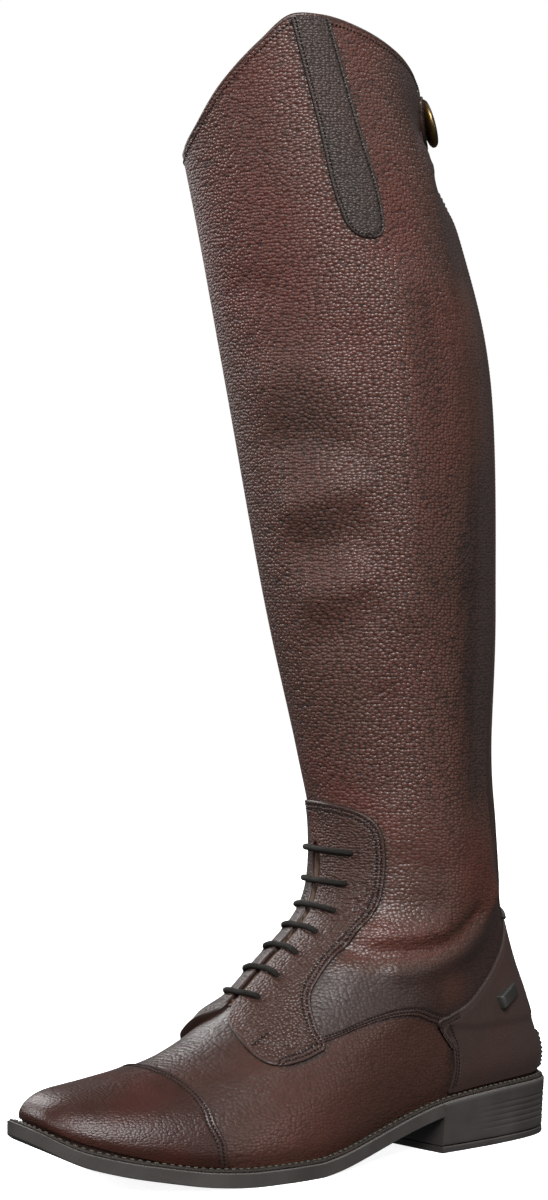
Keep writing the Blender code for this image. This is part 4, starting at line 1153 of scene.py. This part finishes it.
def foot_path(place, reach, count):
    """A path along the upper's foot line, from a reach on the outer side to the same on the inner side."""
    level = np.full(count, FOOT_LEVEL)
    return level, place(level, np.linspace(reach, -reach, count))


def make_cap():
    """The toe cap, raised a little off the sole at the toe's tip."""
    count = 150
    level, turn = foot_path(FORM.from_front, CAP_EDGE[0].reach, count)
    foot = (level + 0.3 * np.maximum(0, 1 - (turn / 0.2) ** 2), turn)
    edge = edge_path(both_sides(CAP_EDGE), FORM.from_front, count)
    made = panel("toe_cap_leather", ruled(foot, edge, 64), CAP_THICK, ("end",), DOUBLE_ROW, "cap_leather",
                 ("toe_cap",), grain=0.22, flip=True)
    stitches("toe_cap_stitches", panel_rows(made, DOUBLE_ROW))


def make_counter():
    """The heel counter, sewn along its front edges only."""
    count = 170
    edge = edge_path(both_sides(COUNTER_EDGE), FORM.from_back, count)
    front = smooth((3.25 - edge[0]) / 0.1)
    grid = ruled(foot_path(FORM.from_back, COUNTER_EDGE[0].reach, count), edge, 64)
    made = panel("counter_leather_piece", grid, COUNTER_THICK, ("end",), COUNTER_ROW, "counter_leather",
                 ("heel_counter",), grain=0.14, sewn=front)
    stitches("counter_stitches", panel_rows(made, COUNTER_ROW))


FACING_THICK = 1.0
BAR_TACK = (4.56, 4.28)
BAR_TACK_REACH = 34.8
FACING_COLUMNS = 54
# Where the facing bends, where it is rubbed, and where its inner wing stands away from the upper
FLEX_LEVEL = 6.95
RUB_LEVEL = 8.08
AWAY = 2.6
AWAY_LEVELS = (3.6, 5.45)
AWAY_SOFT = 0.6
TONGUE_TOP = 0.6
TONGUE_UNDER = -2.0
# Laces: how they sag at the front line and go down into their holes
LACE_DIP = 0.7
LACE_PLUNGE = 3.0
LACE_BEND = 2.4
HOLE_BEYOND = 0.5


def beside_front(side):
    """A rule for the turn at a reach from the front line, on one side of it."""
    def place(level, reach):
        return FORM.from_front(level, side * np.maximum(reach, 0))
    return place


def make_facing():
    """Two wings beside the throat slit, joined above the top lace."""
    count = 190
    paths = []
    for name, side in (("facing_outer", 1), ("facing_inner", -1)):
        place = beside_front(side)
        front = edge_path(FACING_FRONT, place, count)
        back = edge_path(FACING_BACK, place, count)
        grid = ruled(front, back, FACING_COLUMNS)
        level = grid[0]
        low, high = AWAY_LEVELS
        away = 0.0
        if side < 0:
            away = AWAY * smooth((high - level) / AWAY_SOFT) * smooth((level - low) / AWAY_SOFT)
        across = np.linspace(0, 1, FACING_COLUMNS)
        flexed = bell((level - FLEX_LEVEL) / 0.45) * smooth(2 * across - 0.4)
        rubbed = 1.3 * bell((level - RUB_LEVEL) / 0.30) * bell(across / 0.28)
        # The outer wing a little darker; the inner wing darkened more with painted shade, fading out at its
        # top where the wings join
        shaded = 0.35 if side > 0 else 0.95 - 0.60 * smooth((level - 7.7) / 0.3)
        made = panel(name, grid, FACING_THICK, ("start", "end"), DOUBLE_ROW, "facing_leather",
                     ("lace_facing",), tint=rubbed - shaded, grain=0.60, flip=side < 0, lift=away,
                     crinkle=2.2 * flexed, joined=level[:, 0] > SLIT_LEVELS[1] + 0.05)
        paths += panel_rows(made, DOUBLE_ROW)
        for reach in (BAR_TACK_REACH, BAR_TACK_REACH + 1.0):
            level = np.linspace(*BAR_TACK, 12)
            turn = place(level, np.full(12, reach))
            paths.append(surface_path(level, turn, ground(level, turn) + FACING_THICK))
    stitches("facing_stitches", paths)


def make_tongue():
    """The tongue, close under the upper's throat."""
    count = 60
    left = edge_path(TONGUE_EDGE, lambda level, reach: FORM.from_front(level, -reach), count)
    right = edge_path(TONGUE_EDGE, FORM.from_front, count)
    level, turn = ruled(left, right, 40)
    points = two_walls(FORM.at(level, turn, TONGUE_TOP - WALL), FORM.at(level, turn, TONGUE_UNDER - WALL))
    fields = {"tint": np.full(len(points), 0.3), "grain": np.full(len(points), 0.6)}
    add_piece("tongue_leather", points, wall_faces(*level.shape), "leather", ("tongue",), fields)


# Rim of a punched hole: radius and height
HOLE = [(2.0, -0.3), (1.75, 0.12), (1.2, -0.5)]
HOLE_SIDES = 18


def make_laces():
    """Round elastic bars over the throat, each end going down into a punched hole."""
    points = []
    faces = []
    for number, lace in enumerate(LACES, start=1):
        reach = lace.reach * np.sin(np.linspace(-1, 1, 41) * math.pi / 2)
        left = lace.reach - np.abs(reach)
        level = lace.level + lace.crest * (1 - (reach / lace.reach) ** 2)
        plunge = LACE_PLUNGE * (1 - smooth(left / LACE_BEND))
        lift = FACING_THICK + LACE_RADIUS * 0.85 - LACE_DIP * bell(reach / 4) - plunge
        turn = FORM.from_front(level, reach)
        bar, bar_faces = tube(FORM.at(level, turn, ground(level, turn) + lift), LACE_RADIUS)
        add_piece(f"lace_{number}", bar, bar_faces, "lace", (f"lace_bar_{number}",))
        for end in (lace.reach + HOLE_BEYOND, -lace.reach - HOLE_BEYOND):
            turn = FORM.from_front(lace.level, end)
            centre = FORM.at(lace.level, turn, ground(lace.level, turn) + FACING_THICK)
            rim, rim_faces = lathe(HOLE, centre, FORM.normal(np.array(lace.level), turn), HOLE_SIDES)
            start = len(points) * len(rim)
            points.append(rim)
            faces += [tuple(start + v for v in face) for face in rim_faces]
    add_piece("lace_holes", np.concatenate(points), faces, "thread")


def make_side_tab():
    """The long tab on the outer side of the collar, sewn along both edges."""
    count = 90
    left = edge_path(TAB_EDGE, lambda level, reach: from_tab(level, -reach), count)
    right = edge_path(TAB_EDGE, from_tab, count)
    made = panel("side_tab_leather", ruled(left, right, 40), TAB_THICK, ("start", "end"), SINGLE_ROW,
                 "tab_leather", ("side_tab",), grain=0.9, flip=True, lip_highlight=0.15)
    stitches("side_tab_stitches", edge_rows(made, SINGLE_ROW))


# Teeth of the zip and the stops at its lower end: length, width and height, their pitch and their places
TOOTH = (1.7, 2.6, 1.5)
TOOTH_PITCH = 2.3
TOOTH_REACH = 0.95
TOOTH_HEIGHT = 0.65
STOP = (2.0, 2.8, 2.4)
STOP_PITCH = 1.7
STOP_HEIGHT = 0.9
TAPE_HEIGHT = 0.4
ZIP_END = (5.52, 5.74)
ZIP_END_REACH = (17, 6)


def back_band(start, end, count=220):
    """Two paths along the zip, at millimetres from the back line: first at end, then at start."""
    level = np.linspace(*ZIP_SPAN, count)
    return tuple((level, FORM.from_back(level, np.full(count, reach))) for reach in (end, start))


def make_zip():
    """Tape and two rows of teeth on the back line, between two leather guards with a row of stitches each."""
    level, turn = ruled(*back_band(-ZIP_HALF, ZIP_HALF), 10)
    floor = ground(level, turn)
    points = two_walls(FORM.at(level, turn, floor + TAPE_HEIGHT), FORM.at(level, turn, floor - SUNK))
    fields = {"tint": np.zeros(len(points))}
    add_piece("zip_tape", points, wall_faces(*level.shape), "zip", ("back_zip",), fields)
    rows = [[], []]
    teeth_level = np.linspace(*ZIP_SPAN, 300)
    end_level = np.linspace(*ZIP_END, 14)
    for side in (1, -1):
        turn = FORM.from_back(teeth_level, np.full(300, side * TOOTH_REACH))
        rows[0].append(surface_path(teeth_level, turn, ground(teeth_level, turn) + TOOTH_HEIGHT))
        turn = FORM.from_back(end_level, side * np.linspace(*ZIP_END_REACH, 14))
        rows[1].append(surface_path(end_level, turn, ground(end_level, turn) + STOP_HEIGHT))
    shapes = (("zip_teeth", TOOTH, TOOTH_PITCH, 0.6), ("zip_end", STOP, STOP_PITCH, 0.0))
    for paths, (name, size, pitch, tint) in zip(rows, shapes):
        points, faces = scatter(paths, pitch, *bead(*size))
        add_piece(name, points, faces, "zip", (), {"tint": np.full(len(points), tint)})
    paths = []
    near = ZIP_HALF + GAP
    for name, side in (("lateral", 1), ("medial", -1)):
        start, end = back_band(side * near, side * (near + GUARD_WIDTH))
        made = panel(f"guard_{name}", ruled(end, start, 24), GUARD_THICK, ("start", "end"), SINGLE_ROW,
                     "leather", (f"zip_guard_{name}",), tint=-0.3, grain=0.3, flip=side > 0)
        paths += panel_rows(made, SINGLE_ROW)
    stitches("guard_stitches", paths)


def lathe(profile, centre, axis, sides):
    """A turned shape about an axis: profile points are (radius, height)."""
    across = unit(np.cross(axis, (0, 0, 1)))
    out = circle(sides, across, np.cross(axis, across))
    rings = [centre + axis * height + radius * out for radius, height in profile]
    faces = ring_faces(len(rings), sides, inward=True)
    last = (len(rings) - 1) * sides
    faces.append(tuple(range(sides)))
    faces.append(tuple(range(last, last + sides))[::-1])
    return np.concatenate(rings), faces


# Snap cap from its foot to its crown: radius, height, and share of bright bronze
SNAP_CAP = [
    (4.2, -0.8, 0.2), (6.4, 0.0, 0.5), (9.8, 0.5, 0.8), (10.5, 1.1, 0.5), (10.6, 1.7, 0.2), (10.5, 2.3, 0.05),
    (9.9, 2.9, 0.0), (8.9, 3.1, 0.0), (8.1, 2.8, 0.0), (7.5, 2.7, 0.0), (6.0, 3.2, 0.05), (3.6, 3.6, 0.1),
    (1.2, 3.75, 0.1),
]
SNAP_SIDES = 40
SNAP_HEIGHT = 1.2


def make_snap():
    """A leather tab across the zip's top and its round bronze snap cap."""
    count = 70
    low = edge_path(SNAP_TAB_LOW, FORM.from_back, count)
    high = edge_path(SNAP_TAB_HIGH, FORM.from_back, count)
    made = panel("snap_tab_leather", ruled(low, high, 30), SNAP_TAB_THICK, ("start", "end"), SINGLE_ROW,
                 "leather", ("snap_tab",), grain=0.6, tint=-0.7, lift=0.7, lip_highlight=0.15)
    stitches("snap_tab_stitches", edge_rows(made, SINGLE_ROW))
    turn = FORM.from_back(SNAP_LEVEL, SNAP_BACK)
    centre = FORM.at(SNAP_LEVEL, turn, ground(SNAP_LEVEL, turn) + SNAP_HEIGHT)
    profile = [(radius, height) for radius, height, gold in SNAP_CAP]
    points, faces = lathe(profile, centre, FORM.normal(np.array(SNAP_LEVEL), turn), SNAP_SIDES)
    gold = np.repeat([gold for radius, height, gold in SNAP_CAP], SNAP_SIDES)
    add_piece("snap_cap_bronze", points, faces, "bronze", ("snap_cap",), {"tint": gold})


# Spur rest: its outline, then height, length, width and rubbed share of each ring from its foot to its top;
# the lug's front face is lightened more, as a painted highlight
LUG_RING = [
    (-1.0, -0.9), (-1.0, 0.9), (-0.86, 1.0), (0.86, 1.0), (1.0, 0.9), (1.0, -0.9), (0.86, -1.0),
    (-0.86, -1.0),
]
LUG_STEPS = [
    (0.2, 1.14, 1.30, 0.0), (1.15, 1.12, 1.26, 0.0), (1.15, 1.0, 1.0, 0.0), (3.9, 0.97, 0.94, 0.5),
    (4.6, 0.90, 0.80, 0.6), (4.8, 0.80, 0.62, 0.4),
]
LUG_BACK = 36.5
LUG_HALF = 8.2
LUG_LEVEL = 3.06
LUG_RISE = 0.13
LUG_HIGH = 0.25
LUG_DROP = 1.8
LUG_BEVEL = 0.25


def make_spur_rests():
    """Moulded lugs that stand out from the counter, rising towards the back."""
    count = len(LUG_RING)
    front = np.array([x < -0.95 for x, y in LUG_RING])
    # Rubbed lighter towards the top, with painted highlight on the front face and less lightening on the
    # other faces
    tint = np.outer([rubbed for height, length, width, rubbed in LUG_STEPS], 0.3 + 0.9 * front).ravel()
    last = (len(LUG_STEPS) - 1) * count
    ends = [tuple(range(count)), tuple(range(last, last + count))[::-1]]
    lug_faces = ring_faces(len(LUG_STEPS), count, inward=True) + ends
    for name, side in (("lateral", 1), ("medial", -1)):
        points = []
        for height, length, width, rubbed in LUG_STEPS:
            for x, y in LUG_RING:
                level = LUG_LEVEL + LUG_RISE * x * length + LUG_HIGH * y * width
                drop = LUG_DROP * max(x, 0) * (height > 2)
                turn = FORM.from_back(level, side * (LUG_BACK - LUG_HALF * x * length))
                points.append(FORM.at(level, turn, height - drop))
        faces = lug_faces if side > 0 else [face[::-1] for face in lug_faces]
        piece = add_piece(f"spur_lug_{name}", np.array(points), faces, "dark_rubber",
                          (f"spur_rest_{name}",), {"tint": tint}, sharp=40)
        edge = piece.modifiers.new("edge", "BEVEL")
        edge.width = LUG_BEVEL * MM
        edge.segments = 2


GRIP_LEVELS = (0.30, 1.62)
GRIP_HALF = 15.0
GRIP_RIDGES = 9
GRIP_ROWS = 92
GRIP_COLUMNS = 36
GRIP_BASE = 1.1
GRIP_RISE = 1.3
GRIP_UNDER = 0.5


def make_heel_grip():
    """A ridged rubber strip above the heel."""
    low, high = GRIP_LEVELS
    rows = np.linspace(low, high, GRIP_ROWS)
    level, across = np.meshgrid(rows, np.linspace(-1, 1, GRIP_COLUMNS), indexing="ij")
    turn = FORM.from_back(level, -GRIP_HALF * across)
    ends = smooth(np.minimum(level - low, high - level) / 0.06)
    ridges = 0.5 + 0.5 * np.cos((level - low) / (high - low) * 2 * math.pi * GRIP_RIDGES)
    height = GRIP_BASE + GRIP_RISE * ends * smooth((1 - np.abs(across)) / 0.12) * (0.55 + 0.45 * ridges)
    points = two_walls(FORM.at(level, turn, height), FORM.at(level, turn, GRIP_UNDER))
    tint = np.concatenate([0.4 * ridges.ravel(), np.zeros(level.size)])
    add_piece("heel_grip_rubber", points, wall_faces(*level.shape), "dark_rubber",
              ("heel_grip",), {"tint": tint})


# Columns of the sole before and behind the heel's breast
FORE_COLUMNS = 120
HEEL_COLUMNS = 60
BREAST_STEP = 0.15


def toe_ledge(y):
    """How much wider the sole's ledge is at the toe."""
    return TOE_LEDGE * np.clip((y - TOE_LEDGE_FROM_Y) / (TOE_LEDGE_FULL_Y - TOE_LEDGE_FROM_Y), 0, 1)


def sole_side(offset, side):
    """One side of the upper's foot line moved out, toe to heel, with a double point at the heel's breast."""
    loop = half_loop(0.0, side, 600)[:, :2]
    along = np.gradient(loop, axis=0)
    along[0] = (side, 0)
    along[-1] = (-side, 0)
    normal = unit(side * np.stack([along[:, 1], -along[:, 0]], 1))
    moved = loop + normal * (offset + toe_ledge(loop[:, 1]) * (offset > 0))[:, None]
    run = path_run(moved)
    breast = np.interp(HEEL_BREAST_Y, moved[:, 1], run)
    fore = np.linspace(0, breast - BREAST_STEP, FORE_COLUMNS)
    return read_path(np.concatenate([fore, np.linspace(breast, run[-1], HEEL_COLUMNS)]), run, moved)


def ring_row(offset, height):
    """Points round the sole: the outer side from toe to heel, then the inner side from heel to toe."""
    outer, inner = sole_side(offset, 1), sole_side(offset, -1)
    ring = np.concatenate([outer, inner[-2:0:-1]])
    return toe_roll(np.column_stack([ring, height(ring[:, 1])]))


def slab(name, rows, look, replaced, fields=None):
    """A closed slab between rings, from its top ring to its bottom ring."""
    count = len(rows[0])
    half = count // 2
    faces = ring_faces(len(rows), count, inward=True)
    bottom = (len(rows) - 1) * count
    for j in range(half):
        quad = tuple(dict.fromkeys((j, j + 1, 2 * half - j - 1, (2 * half - j) % count)))
        faces.append(quad)
        faces.append(tuple(bottom + v for v in quad[::-1]))
    add_piece(name, np.concatenate(rows), faces, look, replaced, fields, sharp=35)


# Heel's grooves: their number, depth and span down the heel
HEEL_GROOVES = 5
HEEL_GROOVE_DEPTH = 0.26
HEEL_GROOVE_SPAN = (0.26, 0.84)
# The sole's edge from its top to its bottom: shares of its height, and how far each is rounded in
EDGE_ROWS = 57
EDGE_SHARES = [0.0, 0.0, 0.02, 0.06, 0.12, *np.linspace(0.2, 0.9, EDGE_ROWS), 0.95, 0.985, 1.0, 1.0]
EDGE_INSETS = [1.2, 0.55, 0.18, 0.0, 0.0, *np.zeros(EDGE_ROWS), 0.0, 0.15, 0.55, 1.2]


def make_outsole():
    """Thin sole and heel body in one: rounded edges, and grooves that deepen towards the heel's back."""
    ring = ring_row(LEDGE, seat_z)
    heel = ring[:, 1] >= HEEL_BREAST_Y - 1e-6
    back = np.clip((ring[:, 1] - HEEL_BREAST_Y) / (ring[:, 1].max() - HEEL_BREAST_Y), 0, 1)
    mix = (smooth((back - 0.15) / 0.6) * heel)[:, None]
    low, high = HEEL_GROOVE_SPAN
    rows = []
    tint = []
    for share, inset in zip(EDGE_SHARES, EDGE_INSETS):
        wave = math.cos((share - low) / (high - low) * 2 * math.pi * HEEL_GROOVES)
        groove = HEEL_GROOVE_DEPTH * (0.5 - 0.5 * wave) ** 3 if low < share < high else 0.0
        plain = ring_row(LEDGE - inset, seat_z)
        ribbed = ring_row(LEDGE - inset - HEEL_TAPER * share, seat_z)
        deep = ring_row(LEDGE - inset - HEEL_TAPER * share - groove, seat_z)
        row = np.where(heel[:, None], ribbed, plain) + (deep - ribbed) * mix
        top = row[:, 2].copy()
        bottom = np.where(heel, HEEL_LIFT + GAP, top - SOLE_EDGE)
        row[:, 2] = top + (bottom - top) * share
        rows.append(row)
        tint.append(np.full(len(row), 0.9 * bell(share / 0.05) * (share < 0.1)))
    slab("outsole_rubber", rows, "sole_rubber", ("outsole",), {"tint": np.concatenate(tint)})


# Rings of the heel lift: height and how far in
LIFT_STEPS = [
    (HEEL_LIFT, 1.2), (HEEL_LIFT, 0.35), (HEEL_LIFT - 0.3, 0.0), (0.5, 0.0), (0.15, 0.15), (0.0, 0.6),
]


def heel_ring(offset, z):
    """Ring of the heel alone: its two sides behind the breast."""
    outer = sole_side(offset, 1)[FORE_COLUMNS:]
    inner = sole_side(offset, -1)[FORE_COLUMNS:]
    ring = np.concatenate([outer, inner[-2::-1]])
    return np.column_stack([ring, np.full(len(ring), z)])


def make_heel_lift():
    """The heel's top piece, with rounded edges."""
    rows = []
    for z, inset in LIFT_STEPS:
        rows.append(heel_ring(LEDGE - HEEL_TAPER - inset, z))
    fields = {"tint": np.zeros(len(rows) * len(rows[0]))}
    slab("heel_lift_rubber", rows, "sole_rubber", ("heel_lift",), fields)


def make_insole():
    """The footbed, a little rounded at its top edge."""
    inset = -(WALL + 2 * GAP)
    rows = []
    for rounded, height in ((0.6, INSOLE), (0.0, INSOLE - 0.5), (0.0, 0.0)):
        rows.append(ring_row(inset - rounded, lambda y: seat_z(y) + GAP + height))
    slab("insole_leather", rows, "lining", ("insole",))


# Section of the welt: share of the way out and of its height, with the sewn channel's lowest point
WELT_PROFILE = [
    (0.0, 0.0), (1.0, 0.0), (1.0, 0.55), (0.93, 0.85), (0.80, 0.95), (0.62, 0.72), (0.44, 0.95), (0.0, 1.1),
]
WELT_CHANNEL = 5
WELT_THREAD_RISE = 0.40
WELT_HALF = 210
WELT_INSIDE = -0.4
WELT_CLEAR = 0.05


def make_welt():
    """A strip on the sole's ledge with a sewn channel, and its row of stitches."""
    turn = np.linspace(0, 2, 2 * WELT_HALF, endpoint=False)
    inside = FORM.at(np.full(turn.shape, FOOT_LEVEL), turn, WELT_INSIDE)[:, :2]
    loop = np.concatenate([half_loop(0.0, 1, WELT_HALF), half_loop(0.0, -1, WELT_HALF)[-2:0:-1]])[:, :2]
    along = np.roll(loop, -1, axis=0) - np.roll(loop, 1, axis=0)
    normal = unit(np.stack([along[:, 1], -along[:, 0]], 1))
    outside = loop + normal * (LEDGE - WELT_MARGIN + toe_ledge(loop[:, 1]))[:, None]
    rings = []
    for share, height in WELT_PROFILE:
        flat = inside * (1 - share) + outside * share
        z = seat_z(flat[:, 1]) + WELT_CLEAR + height * WELT_HEIGHT
        rings.append(toe_roll(np.column_stack([flat, z])))
    points = np.concatenate(rings)
    fields = {"tint": np.zeros(len(points)), "grain": np.full(len(points), 0.5)}
    faces = ring_faces(len(rings), len(turn), closed=True)
    add_piece("welt_strip", points, faces, "welt", ("welt",), fields)
    channel = np.concatenate([rings[WELT_CHANNEL], rings[WELT_CHANNEL][:1]])
    channel[:, 2] += WELT_THREAD_RISE
    up = np.zeros(channel.shape)
    up[:, 2] = 1.0
    stitches("welt_stitches", [(channel, up)], WELT_PITCH, "welt_thread", 1.0)


# Stage: the camera fitted to the photo, and the lamps
CAMERA_PLACE = (1.0822, -0.9490, 0.243)
CAMERA_TURN = (89.65, 0.0, 52.0)
CAMERA_LENS = 98.43
SENSOR_HEIGHT = 36.0
FLOOR_RADIUS = 4.0
Lamp = namedtuple("Lamp", "name place target size power")
LAMPS = [
    Lamp("key", (1.45, -0.85, 1.40), (0, -0.06, 0.30), 0.9, 60.0),
    Lamp("front_left", (0.45, -1.8, 0.8), (0, -0.06, 0.36), 0.8, 14.0),
    Lamp("left_rim", (-1.3, -1.25, 0.9), (0, -0.06, 0.30), 0.7, 18.0),
    Lamp("back_fill", (0.3, 1.7, 2.3), (0, -0.06, 0.24), 1.2, 17.0),
    Lamp("inner_fill", (-1.7, -0.1, 1.6), (0, -0.06, 0.24), 1.0, 22.0),
    Lamp("right_strip", (1.8, 0.60, 0.40), (0, -0.06, 0.26), 0.5, 4.5),
    Lamp("inner_rim", (-1.8, 0.0, 0.80), (0, -0.06, 0.26), 0.9, 5.0),
]
SUN_STRENGTH = 0.16
SUN_SOFTNESS = 60.0
WORLD_LIGHT = 0.08


def aim(thing, target):
    """Turn a lamp so that it points at a target."""
    away = np.array(thing.location) - np.array(target)
    flat = math.hypot(away[0], away[1])
    thing.rotation_euler = (math.atan2(flat, away[2]), 0.0, math.atan2(away[1], away[0]) + math.pi / 2)


def make_stage():
    """Floor, pale backdrop, lamps and the camera that matches the photo."""
    bpy.ops.mesh.primitive_circle_add(vertices=96, radius=FLOOR_RADIUS, fill_type="NGON")
    floor = bpy.context.active_object
    floor.name = "floor"
    n = Nodes("pale_floor")
    pale = n.mix(n.noise(n.place(), 3.0), rgb(0.86, 0.86, 0.86), rgb(0.90, 0.90, 0.90))
    floor.data.materials.append(
        n.look(Base_Color=pale, Roughness=0.85, Emission_Color=rgb(1, 1, 1), Emission_Strength=0.9))
    floor.visible_diffuse = False
    floor.visible_glossy = False
    world = bpy.data.worlds.new("studio")
    bpy.context.scene.world = world
    world.use_nodes = True
    backdrop = world.node_tree.nodes["Background"]
    backdrop.inputs["Color"].default_value = (1, 1, 1, 1)
    seen = world.node_tree.nodes.new("ShaderNodeMapRange")
    seen.inputs["To Min"].default_value = WORLD_LIGHT
    rays = world.node_tree.nodes.new("ShaderNodeLightPath")
    world.node_tree.links.new(rays.outputs["Is Camera Ray"], seen.inputs["Value"])
    world.node_tree.links.new(seen.outputs["Result"], backdrop.inputs["Strength"])
    sun = bpy.data.lights.new("overhead", "SUN")
    sun.energy = SUN_STRENGTH
    sun.angle = math.radians(SUN_SOFTNESS)
    bpy.context.scene.collection.objects.link(bpy.data.objects.new("overhead", sun))
    for lamp in LAMPS:
        light = bpy.data.lights.new(lamp.name, "AREA")
        light.size = lamp.size
        light.energy = lamp.power
        thing = bpy.data.objects.new(lamp.name, light)
        thing.location = lamp.place
        aim(thing, lamp.target)
        bpy.context.scene.collection.objects.link(thing)
    camera = bpy.data.objects.new("camera", bpy.data.cameras.new("camera"))
    camera.location = CAMERA_PLACE
    camera.rotation_euler = [math.radians(angle) for angle in CAMERA_TURN]
    camera.data.sensor_fit = "VERTICAL"
    camera.data.sensor_height = SENSOR_HEIGHT
    camera.data.lens = CAMERA_LENS
    bpy.context.scene.collection.objects.link(camera)
    bpy.context.scene.camera = camera
    bpy.context.scene.view_settings.view_transform = "Standard"


make_stage()
quarter_stitches(*make_upper())
make_collar()
make_tongue()
make_cap()
make_counter()
make_facing()
make_laces()
make_side_tab()
make_zip()
make_snap()
make_spur_rests()
make_heel_grip()
make_outsole()
make_heel_lift()
make_insole()
make_welt()
